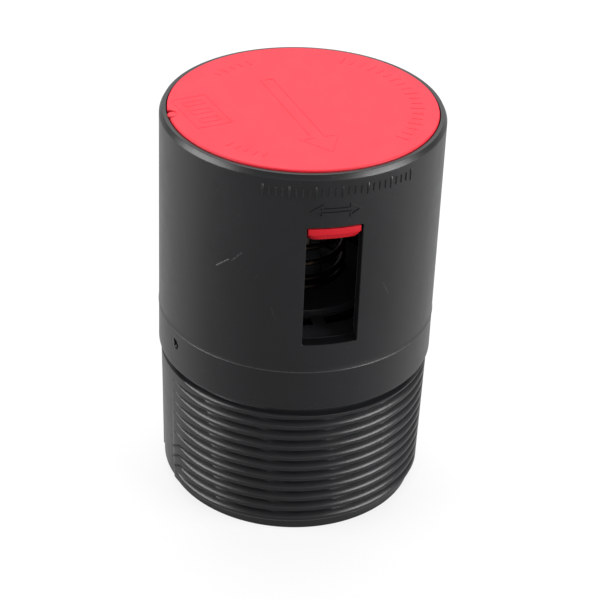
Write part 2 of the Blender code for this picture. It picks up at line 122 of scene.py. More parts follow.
class HousingSizes(bpy.types.PropertyGroup):
    """Sizes of the one-piece housing."""

    radius: length("Radius", "Outer radius at the rim", HOUSING_HIGH.x / MM)
    draft: length("Draft", "How much smaller the radius is at the collar's lower edge", 0.1)
    rim_z: length("Rim height", "Height of the rim's crown", HOUSING_HIGH.z / MM)
    rim_wall: length("Rim wall", "Thickness of the rim round the cap", 1.2)
    rim_drop: length("Rim slant height", "Height of the rim's slanted outer edge", 0.88)
    rim_slant: length("Rim slant width", "Width of the rim's slanted outer edge", 0.46)
    witness_z: length("Witness line height", "Height of the mould's witness line on the collar", 34.55)
    witness_bead: length("Witness bead", "Height of the fine bead at the witness line", 0.07)
    shoulder_z: length("Collar height", "Height of the collar's lower edge", 26.8)
    collar_fillet: length("Collar edge", "Rounding of the collar's lower edge", 0.35)
    ledge_z: length("Ledge height", "Height of the ledge under the cap", 69.0)
    chamber_wall: length("Chamber wall", "Wall round the chamber at the rim", 2.45)
    chamber_draft: length("Chamber draft", "How much the chamber narrows down to the deck", 0.1)
    sill_z: length("Sill height", "Height of the windows' lower edge", 40.0)
    lintel_z: length("Lintel height", "Height of the windows' upper edge", 62.5)
    window_width: length("Window width", "Width of each window", 9.5)
    window_corner: length("Window corner", "Corner radius of each window", 0.25)
    window_edge: length("Window edge", "Width of the broken edge round each window", 0.14)
    window_turn: angle("Window direction", "Angle of the first window from the front, towards +X", 14.5)
    bore_radius: length("Bore radius", "Radius of the pipe bore under the deck", 20.2)
    mouth_radius: length("Mouth radius", "Radius of the pipe bore at its mouth", 20.4)
    deck_top: length("Deck top", "Height of the deck's upper face", 39.4)
    deck_bottom: length("Deck underside", "Height of the deck's lower face", 36.8)
    seat_z: length("Seat height", "Height of the seat lip's edge", 35.6)
    seat_outer: length("Seat outer radius", "Outer radius of the seat lip", 18.2)
    seat_inner: length("Seat inner radius", "Inner radius of the seat lip", 17.4)
    port_outer: length("Port outer radius", "Outer radius of the deck's ports", 17.0)
    port_inner: length("Port inner radius", "Inner radius of the deck's ports", 14.5)
    hub_radius: length("Hub radius", "Radius of the hub that carries the spring", 14.0)
    hub_top: length("Hub height", "Height of the hub's upper face", 40.5)
    guide_radius: length("Guide radius", "Outer radius of the stem guide", 4.0)
    guide_bore: length("Guide bore", "Radius of the stem guide's hole", 2.2)
    guide_top: length("Guide height", "Height of the stem guide's end", 46.0)
    port_count: IntProperty(name="Ports", description="Number of ports in the deck", default=8, min=2)
    spoke_width: length("Spoke width", "Width of the spokes between the ports", 2.2)
    mark_height: length("Mark height", "Height of the plain marks raised on the sleeve", 0.15)
    mark_stroke: length("Mark stroke", "Width of the marks' strokes", 0.36)
    gate_turn: angle("Gate scar direction", "Angle of the gate scar from the front, towards +X", -57.4)
    gate_z: length("Gate scar height", "Height of the gate scar on the collar", 32.1)
    gate_lean: angle("Gate scar lean", "Lean of the gate scar", 24)
    gate_ring: length("Gate ring", "Radius of the faint ring round the gate scar", 1.35)


class ThreadSizes(bpy.types.PropertyGroup):
    """Sizes of the moulded pipe thread."""

    pitch: length("Pitch", "Distance from crest to crest", 25.4 / 11.5)
    step: length("Step", "How far the collar stands out past the first crest", 0.4)
    taper: length("Taper", "How much the crests' radius falls towards the end", 0.5)
    depth: length("Depth", "Height of the ridges", 1.05)
    dome: amount("Crest dome", "Power of the curve from a crest to its valleys", 2.0, 1.0, 4.0)
    first_drop: length("First crest drop", "Drop of the first crest's start under the collar", 0.15)
    groove: length("Groove width", "Width of the relief groove under the collar", 1.05)
    plain_end: length("Plain end", "Height of the plain band at the end", 1.5)
    run_out: length("Run-out", "Height over which the ridges fade at both ends", 0.5)
    land_half: angle("Land half angle", "Half the angle of each smooth land at the parting line", 12.5)
    land_drop: length("Land drop", "How far the lands lie under the crests at the end", 0.25)
    valley_end: length("Valley end", "Length over which the valleys fade out at the lands", 9.0)
    hook_drop: length("Hook drop", "How far the ends of the lower valleys bend down", 1.5)
    hook_length: length("Hook length", "Length of those bent ends", 3.0)
    hook_lead: length("Hook lead", "How far those ends run onto the land", 1.3)
    hook_top: length("Hook top", "Height under which the valleys have bent ends", 11.0)
    hook_bottom: length("Hook bottom", "Height over which the valleys have bent ends", 3.9)
    end_chamfer: length("End chamfer", "Chamfer of the threaded end's edges", 0.25)
    gather: amount("Gather", "How much the columns crowd round the lands", 0.5, 0.0, 0.8)


class CapSizes(bpy.types.PropertyGroup):
    """Sizes of the snap-in cap."""

    radius: length("Radius", "Radius of the cap's disc", 23.03)
    top: length("Top", "Height of the cap's upper face", CAP_HIGH.z / MM + 0.2)
    underside: length("Underside", "Height of the disc's lower face", 69.3)
    edge: length("Edge rounding", "Rounding of the disc's upper edge", 0.32)
    plate: length("Plate", "Thickness of the disc", 2.15)
    skirt_radius: length("Skirt radius", "Outer radius of the skirt", 21.55)
    skirt_wall: length("Skirt wall", "Thickness of the skirt", 1.6)
    skirt_bottom: length("Skirt height", "Height of the skirt's lower edge", 65.7)
    tongue_wall: length("Tongue wall", "Thickness of the snap tongues", 1.3)
    side_gap: length("Side gap", "Gap between a tongue and its window's sides", 0.3)
    barb_inset: length("Barb inset", "How far a barb's face lies inside the sleeve's surface", 0.35)
    barb_land: length("Barb land", "Height of a barb's upright face", 1.15)
    barb_lead_in: length("Barb lead-in", "Height of a barb's sloping face", 2.05)
    barb_heel: length("Barb heel", "Height of the gentle slope under a barb's upright face", 1.05)
    barb_corner: length("Barb corner", "Rounding of a barb's lower corners", 1.2)
    gate_turn: angle("Gate direction", "Angle of the gate notch from the front, towards +X", -77)
    gate_radius: length("Gate notch radius", "Radius of the notch round the gate", 1.5)
    gate_depth: length("Gate notch depth", "Depth of the notch round the gate", 0.85)
    stub_radius: length("Gate stub radius", "Radius of the gate's stub in the notch", 0.95)
    stub_height: length("Gate stub height", "Height of the stub over the notch's floor", 0.75)
    stub_inset: length("Gate stub inset", "How far the stub's middle lies inside the disc's edge", 0.75)
    mark_height: length("Mark height", "Height of the plain marks raised on the cap", 0.07)


class SpringSizes(bpy.types.PropertyGroup):
    """Sizes of the compression spring."""

    radius: length("Coil radius", "Radius at the middle of the wire", 8.0)
    wire: length("Wire radius", "Radius of the wire", 0.55)
    pitch: length("Pitch", "Distance between the open turns", 3.08)
    active: IntProperty(name="Open turns", description="Turns between the two closed ones", default=4, min=1)
    closed_gap: length("Closed gap", "Gap between a closed turn and the next", 0.12)
    start: angle("Start", "Angle of the wire's lower end from the front", -60)


class Finishes(bpy.types.PropertyGroup):
    """Colours and gloss of the materials."""

    black: colour("Black", "Colour of the housing's plastic", (0.0062, 0.0066, 0.0074))
    black_roughness: amount("Black roughness", "Roughness of the housing", 0.36)
    red: colour("Red", "Colour of the cap's plastic", (0.86, 0.029, 0.057))
    # Painted shade: the darker red that the cap takes below its top face, on its edge, skirt and barbs
    painted_shade_red: colour("Deep red", "Colour of the cap's plastic under its face", (0.6, 0.004, 0.015))
    red_roughness: amount("Red roughness", "Roughness of the cap", 0.56)
    white: colour("White", "Colour of the stem and the cup", (0.62, 0.61, 0.57))
    rubber: colour("Rubber", "Colour of the seal disc", (0.018, 0.018, 0.019))
    steel: colour("Steel", "Colour of the spring's wire", (0.12, 0.09, 0.068))
    plate: colour("Plated steel", "Colour of the washer and the push nut", (0.6, 0.6, 0.58))


class StageSettings(bpy.types.PropertyGroup):
    """The camera's place, which the photograph gives, and the lights."""

    distance: length("Camera distance", "How far in front of the axis the camera stands", 321.755)
    height: length("Camera height", "Height of the camera", 232.908)
    focal: amount("Focal length", "In pixels of the photograph", 2121.2, 100.0, 10000.0, "PIXEL")
    pan: angle("Pan", "Turn of the camera to the right", 0.142)
    tilt: angle("Tilt", "How far the camera looks down", 31.732)
    roll: angle("Roll", "Roll of the camera", 2.445)
    world: amount("World", "Strength of the surroundings' light", 0.22, high=10.0)
    glow: amount("Floor glow", "Light of its own that the floor shows", 0.8, high=10.0)
    mirrored: amount("Mirrored glow", "Share of the glow that mirrored rays see in front", 0.15)
    behind: amount("Glow behind", "How much more of it they see behind the object", 0.47)


def math_node(operation, reflected=False):
    """A method that adds this Math node, its two values swapped where the operator is reflected."""

    def method(self, other=None):
        values = (other, self) if reflected else (self, other)
        return self.wires.math(operation, *values)

    return method


class Term:
    """A socket that adds the nodes for what is done with it."""

    __add__ = __radd__ = math_node("ADD")
    __sub__ = math_node("SUBTRACT")
    __rsub__ = math_node("SUBTRACT", reflected=True)
    __mul__ = __rmul__ = math_node("MULTIPLY")
    __truediv__ = math_node("DIVIDE")
    __rtruediv__ = math_node("DIVIDE", reflected=True)
    __mod__ = math_node("FLOORED_MODULO")
    __pow__ = math_node("POWER")
    __abs__ = math_node("ABSOLUTE")
    __lt__ = math_node("LESS_THAN")
    __gt__ = math_node("GREATER_THAN")
    least = math_node("MINIMUM")
    most = math_node("MAXIMUM")
    root = math_node("SQRT")
    sine = math_node("SINE")
    cosine = math_node("COSINE")

    def __init__(self, wires, socket):
        self.wires = wires
        self.socket = socket

    def __neg__(self):
        return self * -1.0

    def between(self, low, high, smooth=False):
        """0 at low and 1 at high, held there outside."""
        settings = {"interpolation_type": "SMOOTHSTEP" if smooth else "LINEAR"}
        return self.wires.out("ShaderNodeMapRange", {0: self, 1: low, 2: high, 3: 0.0, 4: 1.0}, settings)


class Wires:
    """Adds nodes to one node tree."""

    def __init__(self, tree):
        self.tree = tree

    def node(self, kind, values=(), settings=()):
        """A new node with these settings and, for each socket named, a value or a link."""
        made = self.tree.nodes.new(kind)
        for name, value in dict(settings).items():
            setattr(made, name, value)
        for key, value in dict(values).items():
            if isinstance(value, Term):
                self.tree.links.new(value.socket, made.inputs[key])
            else:
                made.inputs[key].default_value = value
        return made

    def out(self, kind, values=(), settings=(), output=0):
        """An output of a new node."""
        return Term(self, self.node(kind, values, settings).outputs[output])

    def math(self, operation, first, second=None):
        values = {0: first} if second is None else {0: first, 1: second}
        return self.out("ShaderNodeMath", values, {"operation": operation})

    def scaled(self, first, factors):
        return self.out("ShaderNodeVectorMath", {0: first, 1: factors}, {"operation": "MULTIPLY"})

    def mix(self, factor, first, second):
        """A mix of two colours, each an RGB tuple or a link."""
        ends = [end if isinstance(end, Term) else (*end[:3], 1.0) for end in (first, second)]
        values = {0: factor, 6: ends[0], 7: ends[1]}
        return self.out("ShaderNodeMix", values, {"data_type": "RGBA", "clamp_factor": True}, 2)

    def noise(self, place, scale, detail=2.0, roughness=0.5):
        values = {"Vector": place, "Scale": scale, "Detail": detail, "Roughness": roughness}
        return self.out("ShaderNodeTexNoise", values)

    def split(self, vector):
        node = self.node("ShaderNodeSeparateXYZ", {0: vector})
        return [Term(self, socket) for socket in node.outputs]

    def joined(self, x, y, z):
        return self.out("ShaderNodeCombineXYZ", {0: x, 1: y, 2: z})

    def bump(self, height, strength, distance):
        return self.out("ShaderNodeBump", {"Height": height, "Strength": strength, "Distance": distance})

    def ray(self, kind):
        """1 for rays of this kind and 0 for others."""
        return self.out("ShaderNodeLightPath", output=f"Is {kind} Ray")


# Materials


def new_material(name):
    """A material, its wires, and the Object coordinates in millimetres."""
    material = bpy.data.materials.new(name)
    material.use_nodes = True
    material.node_tree.nodes.clear()
    wires = Wires(material.node_tree)
    place = wires.out("ShaderNodeTexCoord", output="Object")
    return material, wires, wires.scaled(place, (1 / MM, 1 / MM, 1 / MM))


def surface(wires, values, normal):
    """The Principled shader with these values, as the material's surface."""
    shader = wires.out("ShaderNodeBsdfPrincipled", {**values, "Normal": normal})
    wires.node("ShaderNodeOutputMaterial", {"Surface": shader})


def shaded(tint, *factors):
    """The colour times one factor, or times one for each channel."""
    return tuple(channel * factor for channel, factor in zip(tint, factors * (3 // len(factors))))


def scratch(wires, along, height, start, stop, width):
    """A mask of one scratch on the sleeve from start to stop, each an (arc, height) in millimetres."""
    run = Vector(stop) - Vector(start)
    share = ((along - start[0]) * run.x + (height - start[1]) * run.y) / run.length_squared
    share = share.most(0.0).least(1.0)
    across = (along - start[0] - share * run.x) ** 2.0 + (height - start[1] - share * run.y) ** 2.0
    return 1.0 - across.root().between(width * 0.3, width, smooth=True)


# Each scratch from one (arc, height) to the next in millimetres, with its width and strength
SCRATCHES = (
    ((-14.1, 52.7), (-11.8, 54.6), 0.17, 0.45),
    ((-11.3, 54.4), (-9.4, 56.5), 0.2, 0.13),
    ((-4.1, 47.2), (-3.2, 44.9), 0.12, 0.08),
    ((15.5, 50.2), (16.8, 47.6), 0.12, 0.08),
)


def housing_material(finish, sizes):
    """Satin black moulded plastic: soft flow shades, fine grain, handling marks and one bright scratch.

    The chamber's inside is painted far paler than the outside, its walls more so than its deck: painted
    light, as little light gets in.
    """
    # How many times paler the chamber's walls and deck are painted: painted light inside the chamber
    painted_wall_light = 20.0
    painted_deck_light = 6.0
    material, wires, place = new_material("housing_black")
    x, y, z = wires.split(place)
    along = wires.math("ARCTAN2", x, -y) * (sizes.radius / MM)
    flow = wires.noise(wires.scaled(place, (0.06, 0.06, 0.03)), 1.0, 3.0)
    cloud = wires.noise(place, 0.35, 4.0, 0.6)
    grain = wires.noise(place, 6.0, 2.0, 0.7)
    drawn = wires.noise(wires.joined(along * 1.6, z * 0.05, 0.0), 1.0, 3.0, 0.65)
    specks = wires.noise(place, 1.9, 1.0, 0.4).between(0.74, 0.78)
    marks = 0.0
    for start, stop, width, weight in SCRATCHES:
        marks = scratch(wires, along, z, start, stop, width) * weight + marks
    marks = marks * wires.noise(place, 2.5, 1.0).between(0.3, 0.6)
    gate_x = sizes.gate_turn * sizes.radius / MM
    from_gate = ((along - gate_x) ** 2.0 + (z - sizes.gate_z / MM) ** 2.0).root()
    ring = 1.0 - abs(from_gate - sizes.gate_ring / MM).between(0.08, 0.3, smooth=True)
    ring = ring * (gate_x - along).between(-0.2, 0.8)
    chamber = ((sizes.radius - sizes.chamber_wall) / MM + 0.2 - (x * x + y * y).root()).between(0.0, 0.15)
    deck = 1.0 - z.between(sizes.hub_top / MM, sizes.hub_top / MM + 1.0, smooth=True)
    chamber = chamber * z.between(sizes.deck_top / MM - 0.1, sizes.deck_top / MM)
    pale = shaded(finish.black, 1.4)
    shade = wires.mix(flow.between(0.35, 0.7, smooth=True), finish.black, pale)
    # Painted light: the chamber's walls, and less so its deck, painted paler than the outside
    shade = wires.mix(chamber, shade, shaded(finish.black, painted_wall_light))
    shade = wires.mix(chamber * deck, shade, shaded(finish.black, painted_deck_light))
    # Painted highlight: a thin lighter band along the witness line, broken up by noise, for the light line
    # along the bead
    witness_highlight = 1.0 - abs(z - sizes.witness_z / MM).between(0.05, 0.2, smooth=True)
    shade = wires.mix(witness_highlight * wires.noise(place, 1.2, 2.0).between(0.25, 0.5), shade, (0.034, 0.034, 0.036))
    shade = wires.mix(specks * 0.1, shade, (0.16, 0.16, 0.16))
    shade = wires.mix(marks.least(1.0), shade, (0.3, 0.3, 0.3))
    roughness = (cloud - 0.5) * 0.12 + (drawn - 0.5) * 0.06 + finish.black_roughness + marks * 0.2
    height = grain * 0.35 + drawn * 0.2 + cloud * 0.4 - marks * 2.0 - ring * 6.0
    normal = wires.bump(height, 0.35, 0.02 * MM)
    surface(wires, {"Base Color": shade, "Roughness": roughness, "Specular IOR Level": 0.5}, normal)
    return material


def cap_material(finish, sizes):
    """Saturated red plastic with a satin finish and a faint mottle, and a darker red painted below the top
    face as painted shade.
    """
    material, wires, place = new_material("cap_red")
    cloud = wires.noise(place, 0.22, 4.0, 0.6)
    grain = wires.noise(place, 5.0, 2.0, 0.7)
    swirl = wires.noise(wires.scaled(place, (0.35, 0.12, 0.3)), 1.0, 3.0, 0.5)
    deep = shaded(finish.red, 0.97, 0.85, 0.88)
    shade = wires.mix(swirl.between(0.35, 0.65, smooth=True), deep, finish.red)
    # Painted shade: below the top face the cap takes the darker red
    z = wires.split(place)[2]
    face = z.between(sizes.top / MM - 0.3, sizes.top / MM - 0.06, smooth=True)
    shade = wires.mix(face, finish.painted_shade_red, shade)
    roughness = (cloud - 0.5) * 0.14 + finish.red_roughness
    normal = wires.bump(grain * 0.3 + cloud * 0.3, 0.3, 0.02 * MM)
    values = {"Base Color": shade, "Roughness": roughness, "Specular IOR Level": 0.42}
    soft = {"Subsurface Weight": 0.06, "Subsurface Scale": 1.0 * MM, "Subsurface Radius": (1.0, 0.12, 0.1)}
    surface(wires, {**values, **soft}, normal)
    return material


def white_material(finish):
    """Natural, slightly yellowed plastic of the hidden mouldings."""
    material, wires, place = new_material("natural_white")
    cloud = wires.noise(place, 0.5, 3.0, 0.6)
    grain = wires.noise(place, 7.0, 2.0, 0.7)
    warm = shaded(finish.white, 1.0, 0.97, 0.88)
    shade = wires.mix(cloud.between(0.4, 0.7, smooth=True), finish.white, warm)
    roughness = (cloud - 0.5) * 0.15 + 0.42
    surface(wires, {"Base Color": shade, "Roughness": roughness}, wires.bump(grain, 0.2, 0.02 * MM))
    return material


def rubber_material(finish):
    """Matt black rubber with a pale bloom."""
    material, wires, place = new_material("seal_rubber")
    bloom = wires.noise(place, 0.6, 5.0, 0.7)
    grain = wires.noise(place, 9.0, 2.0, 0.8)
    pale = shaded(finish.rubber, 2.4)
    shade = wires.mix(bloom.between(0.45, 0.75, smooth=True) * 0.6, finish.rubber, pale)
    roughness = bloom * 0.2 + 0.62
    surface(wires, {"Base Color": shade, "Roughness": roughness}, wires.bump(grain, 0.35, 0.03 * MM))
    return material


def wire_material(finish, sizes):
    """Drawn spring steel: brownish, with fine lines along the wire, darker patches of oxide, and painted
    shade that darkens it towards +X.
    """
    material, wires, place = new_material("spring_steel")
    x, y, z = wires.split(place)
    out = ((x * x + y * y).root() - sizes.radius / MM) * 14.0
    lines = wires.noise(wires.joined(out, z * 9.0, wires.math("ARCTAN2", y, x) * 1.5), 1.0, 3.0, 0.6)
    # Patches of oxide, plus painted shade: the wire darker towards +X, the coils' side that light through
    # the window misses
    oxide_and_shade = wires.noise(place, 0.8, 4.0, 0.65) + x.between(-1.0, 5.0) * 0.3
    dark = shaded(finish.steel, 0.25)
    shade = wires.mix(oxide_and_shade.between(0.4, 0.7, smooth=True), finish.steel, dark)
    roughness = lines * 0.2 + oxide_and_shade * 0.3 + 0.15
    values = {"Base Color": shade, "Roughness": roughness, "Metallic": 1.0}
    surface(wires, values, wires.bump(lines, 0.25, 0.01 * MM))
    return material


def plate_material(finish):
    """Zinc-plated pressed steel with a brushed face."""
    material, wires, place = new_material("plated_steel")
    brushed = wires.noise(wires.scaled(place, (0.6, 9.0, 3.0)), 1.0, 3.0, 0.6)
    cloud = wires.noise(place, 0.7, 4.0, 0.6)
    dull = shaded(finish.plate, 0.7)
    shade = wires.mix(cloud.between(0.4, 0.7, smooth=True), finish.plate, dull)
    roughness = brushed * 0.2 + cloud * 0.1 + 0.16
    values = {"Base Color": shade, "Roughness": roughness, "Metallic": 1.0}
    surface(wires, values, wires.bump(brushed, 0.2, 0.01 * MM))
    return material


# Mesh tools


def facing(turn):
    """The angle from +X of a direction given as an angle from the front, which is -Y, towards +X."""
    return turn - math.pi / 2


def window_turns(h):
    """The angles from +X of the two opposite windows."""
    return facing(h.window_turn), facing(h.window_turn) + math.pi


def polar(r, turn):
    """The (x, y) at this radius and angle."""
    return r * math.cos(turn), r * math.sin(turn)


def beside(r, across, turn):
    """The (x, y) at this radius and this far to the side of the line at the angle."""
    along = math.sqrt(r * r - across * across)
    x = along * math.cos(turn) - across * math.sin(turn)
    y = along * math.sin(turn) + across * math.cos(turn)
    return x, y


def fillet_arc(before, corner, after, radius, steps=FILLET_STEPS):
    """The points of an arc that rounds this corner between its neighbours."""
    r, z = corner
    a = math.atan2(before[1] - z, before[0] - r)
    b = math.atan2(after[1] - z, after[0] - r)
    half = abs((b - a + math.pi) % TURN - math.pi) / 2
    reach = radius / math.tan(half)
    middle = math.atan2(math.sin(a) + math.sin(b), math.cos(a) + math.cos(b))
    deep = radius / math.sin(half)
    centre = (r + math.cos(middle) * deep, z + math.sin(middle) * deep)
    start = math.atan2(z + math.sin(a) * reach - centre[1], r + math.cos(a) * reach - centre[0])
    stop = math.atan2(z + math.sin(b) * reach - centre[1], r + math.cos(b) * reach - centre[0])
    sweep = (stop - start + math.pi) % TURN - math.pi
    turns = [start + sweep * step / steps for step in range(steps + 1)]
    return [(centre[0] + radius * math.cos(turn), centre[1] + radius * math.sin(turn)) for turn in turns]


def rounded(corners):
    """The outline through (r, z) or (r, z, fillet) corners."""
    outline = []
    for i, corner in enumerate(corners):
        if len(corner) == 2:
            outline.append(corner)
        else:
            before = corners[i - 1]
            after = corners[(i + 1) % len(corners)]
            outline += fillet_arc(before[:2], corner[:2], after[:2], corner[2])
    return outline


def turned(outline, columns, closed=True):
    """A body of revolution about Z. An open outline starts and ends on the axis."""
    bm = bmesh.new()
    verts = [bm.verts.new((r, 0, z)) for r, z in outline]
    pairs = list(zip(verts, verts[1:]))
    if closed:
        pairs.append((verts[-1], verts[0]))
    edges = [bm.edges.new(pair) for pair in pairs]
    bmesh.ops.spin(
        bm, geom=verts + edges, cent=(0, 0, 0), axis=(0, 0, 1), angle=TURN, steps=columns, use_merge=True
    )
    bmesh.ops.remove_doubles(bm, verts=bm.verts, dist=1e-7)
    return bm


def loft(loops, closed_ends=True):
    """A skin through rings of points that all have the same count."""
    bm = bmesh.new()
    rings = [[bm.verts.new(point) for point in loop] for loop in loops]
    count = len(rings[0])
    for one, other in zip(rings, rings[1:]):
        for i in range(count):
            j = (i + 1) % count
            bm.faces.new((one[i], one[j], other[j], other[i]))
    if closed_ends:
        bm.faces.new(rings[0])
        bm.faces.new(rings[-1])
    else:
        bmesh.ops.remove_doubles(bm, verts=bm.verts, dist=1e-8)
    return bm


def new_object(bm, name, material=None, sharp=35):
    """A mesh object at the origin, its faces outwards and smooth up to the sharp angle in degrees."""
    bmesh.ops.recalc_face_normals(bm, faces=bm.faces)
    mesh = bpy.data.meshes.new(name)
    bm.to_mesh(mesh)
    bm.free()
    mesh.shade_smooth()
    mesh.set_sharp_from_angle(angle=math.radians(sharp))
    obj = bpy.data.objects.new(name, mesh)
    bpy.context.collection.objects.link(obj)
    if material:
        mesh.materials.append(material)
    return obj


def remove(obj):
    mesh = obj.data
    bpy.data.objects.remove(obj, do_unlink=True)
    bpy.data.meshes.remove(mesh)


def settle(obj, sharp=35):
    """Turns the evaluated object into a plain mesh and takes its modifiers off."""
    graph = bpy.context.evaluated_depsgraph_get()
    mesh = bpy.data.meshes.new_from_object(obj.evaluated_get(graph), depsgraph=graph)
    old = obj.data
    obj.modifiers.clear()
    obj.data = mesh
    mesh.name = old.name
    bpy.data.meshes.remove(old)
    mesh.shade_smooth()
    mesh.set_sharp_from_angle(angle=math.radians(sharp))
    return obj


def apply_boolean(obj, helper, operation):
    modifier = obj.modifiers.new(helper.name, "BOOLEAN")
    modifier.object = helper
    modifier.operation = operation
    modifier.solver = "EXACT"
    settle(obj)
    remove(helper)


def joined_bmesh(parts):
    """One bmesh that holds all of these, each freed."""
    whole = bmesh.new()
    for part in parts:
        mesh = bpy.data.meshes.new("part")
        part.to_mesh(mesh)
        part.free()
        whole.from_mesh(mesh)
        bpy.data.meshes.remove(mesh)
    return whole


def dress(obj, body, node):
    """Puts the piece on the body that it rides on and hides the packed node that it stands for."""
    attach(obj, body)
    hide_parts(node)


# Geometry node trees


SOCKETS = {float: "NodeSocketFloat", int: "NodeSocketInt", tuple: "NodeSocketVector"}


def run_tree(obj, grow, values, sharp=35):
    """Makes a tree with an input for each value, lets grow fill it, and keeps its result as the mesh."""
    tree = bpy.data.node_groups.new(grow.__name__, "GeometryNodeTree")

    def socket(label, kind, way="INPUT"):
        return tree.interface.new_socket(label, in_out=way, socket_type=kind).identifier

    socket("Geometry", "NodeSocketGeometry")
    identifiers = {}
    for key, value in values.items():
        identifiers[key] = socket(key.replace("_", " ").capitalize(), SOCKETS[type(value)])
    material = socket("Material", "NodeSocketMaterial")
    socket("Geometry", "NodeSocketGeometry", "OUTPUT")

    wires = Wires(tree)
    inputs = [Term(wires, output) for output in tree.nodes.new("NodeGroupInput").outputs]
    given = SimpleNamespace(**dict(zip(("geometry", *values, "material"), inputs)))
    geometry = wires.out("GeometryNodeRealizeInstances", {0: grow(wires, given)})
    geometry = wires.out("GeometryNodeSetMaterial", {"Geometry": geometry, "Material": given.material})
    wires.node("NodeGroupOutput", {0: geometry})

    modifier = obj.modifiers.new(tree.name, "NODES")
    modifier.node_group = tree
    for key, value in values.items():
        modifier[identifiers[key]] = value
    if obj.active_material:
        modifier[material] = obj.active_material
    return settle(obj, sharp)


def set_position(wires, geometry, place):
    return wires.out("GeometryNodeSetPosition", {"Geometry": geometry, "Position": place})


def cut_thread(wires, given):
    """Cuts a helical thread into the outside of a turned blank, apart from two smooth lands."""
    x, y, z = wires.split(wires.out("GeometryNodeInputPosition"))
    radius = (x * x + y * y).root()
    turn = wires.math("ARCTAN2", y, x)
    pitch = given.pitch
    blend = 0.6 * MM
    land_edge = 0.4 * MM
    hair = 1e-6
    bend_power = 1.3
    opening_power = 0.85

    signed = (((turn - given.land_angle) / math.pi + 0.5) % 1.0 - 0.5) * math.pi
    past_land = (abs(signed) - given.land_half) * given.crest_radius
    hooked = (given.hook_top - z).between(0.0, blend, smooth=True)
    hooked = hooked * (z - given.hook_bottom).between(0.0, blend, smooth=True) * (signed > 0.0)
    bend = (1.0 - past_land / given.hook_length).most(0.0) ** bend_power * given.hook_drop * hooked
    opening = (past_land + hooked * given.hook_lead) / given.valley_end
    opening = opening.most(0.0).least(1.0) ** opening_power

    climb = (turn - given.land_angle - given.land_half) % TURN
    level = given.first_crest + climb * pitch / TURN - bend - z
    from_crest = abs((level / pitch + 0.5) % 1.0 - 0.5) * pitch
    from_root = pitch * 0.5 - from_crest
    valley = (1.0 - from_root / (pitch * 0.5 * opening).most(hair)).most(0.0) ** given.dome
    valley = valley * opening

    down = (given.groove_z - z) / (given.groove_z - given.plain_end)
    crest = given.crest_radius - given.taper * down
    on_land = 1.0 - past_land.between(-land_edge, blend, smooth=True)
    top = (given.groove_z - z) / given.run_out
    end = (z - given.plain_end) / given.run_out
    fade = top.least(end).least(1.0).most(0.0)
    fade = fade.between(0.0, 1.0, smooth=True)
    root = crest - given.depth
    ridge = given.depth * (1.0 - valley) - given.land_drop * down * on_land
    cut = root + ridge * fade

    chosen = (z > given.plain_end - hair) * (z < given.groove_z + hair)
    chosen = chosen * (radius > given.inside_radius)
    scale = (cut / radius - 1.0) * chosen + 1.0
    return set_position(wires, given.geometry, wires.joined(x * scale, y * scale, z))


def bars_on_arc(wires, given):
    """Sets copies of a piece round an arc about Z, with every so many stretched, as in a plain scale."""
    index = wires.out("GeometryNodeInputIndex")
    turn = given.start + given.step * index
    line = wires.out("GeometryNodeMeshLine", {"Count": given.count}, {"mode": "OFFSET"})
    spot = wires.joined(given.radius * turn.cosine(), given.radius * turn.sine(), given.height)
    is_long = (index % given.each) < 0.5
    values = {0: is_long, 4: (1.0, 1.0, 1.0), 5: given.long}
    scale = wires.out("ShaderNodeMix", values, {"data_type": "VECTOR"}, 1)
    return wires.out("GeometryNodeInstanceOnPoints", {
        "Points": set_position(wires, line, spot),
        "Instance": given.geometry,
        "Rotation": wires.joined(0.0, 0.0, turn),
        "Scale": scale,
    })


def on_arc(obj, count, radius, height, start, step, each=1.0, long=(1.0, 1.0, 1.0)):
    """Repeats the object's mesh round an arc about Z."""
    values = {"count": count, "radius": radius, "height": height, "start": start, "step": step}
    return run_tree(obj, bars_on_arc, {**values, "each": each, "long": long})


def wind_spring(wires, given):
    """Winds a wire into a compression spring with a closed turn at each end."""
    turns = wires.out("GeometryNodeInputIndex") / given.steps
    opened = (turns - 1.0).most(0.0).least(given.open_turns)
    closed = turns.least(1.0) + (turns - given.open_turns - 1.0).most(0.0)
    height = given.base + closed * given.closed_rise + opened * given.pitch
    turn = given.start + turns * TURN
    spot = wires.joined(given.coil_radius * turn.cosine(), given.coil_radius * turn.sine(), height)
    count = (given.open_turns + 2.0) * given.steps + 1.0
    line = wires.out("GeometryNodeMeshLine", {"Count": count}, {"mode": "OFFSET"})
    curve = wires.out("GeometryNodeMeshToCurve", {0: set_position(wires, line, spot)})
    values = {"Resolution": given.sides, "Radius": given.wire_radius}
    circle = wires.out("GeometryNodeCurvePrimitiveCircle", values)
    values = {"Curve": curve, "Profile Curve": circle, "Fill Caps": True}
    return wires.out("GeometryNodeCurveToMesh", values)


# Marks


def bar(size, edge):
    """A small bar with broken edges, (x, y, z) in size, its middle at the origin."""
    bm = bmesh.new()
    bmesh.ops.create_cube(bm, size=1.0)
    bmesh.ops.scale(bm, vec=size, verts=bm.verts)
    bmesh.ops.bevel(bm, geom=bm.edges[:], offset=edge, segments=1, profile=0.5, affect="EDGES")
    return bm


def band(points, width, low, high, slope=0.0):
    """A line of this width along a closed flat outline, between two heights, its sides sloped."""
    count = len(points)
    half = width / 2
    rings = []
    for shift, z in ((-half - slope, low), (half + slope, low), (half, high), (-half, high)):
        ring = []
        for i in range(count):
            before = Vector(points[i - 1])
            here = Vector(points[i])
            after = Vector(points[(i + 1) % count])
            first = (here - before).normalized()
            second = (after - here).normalized()
            side = Vector((first.y, -first.x))
            out = (side + Vector((second.y, -second.x))).normalized()
            spot = here + out * shift / max(0.3, out.dot(side))
            ring.append((spot.x, spot.y, z))
        rings.append(ring)
    return loft(rings + rings[:1], closed_ends=False)


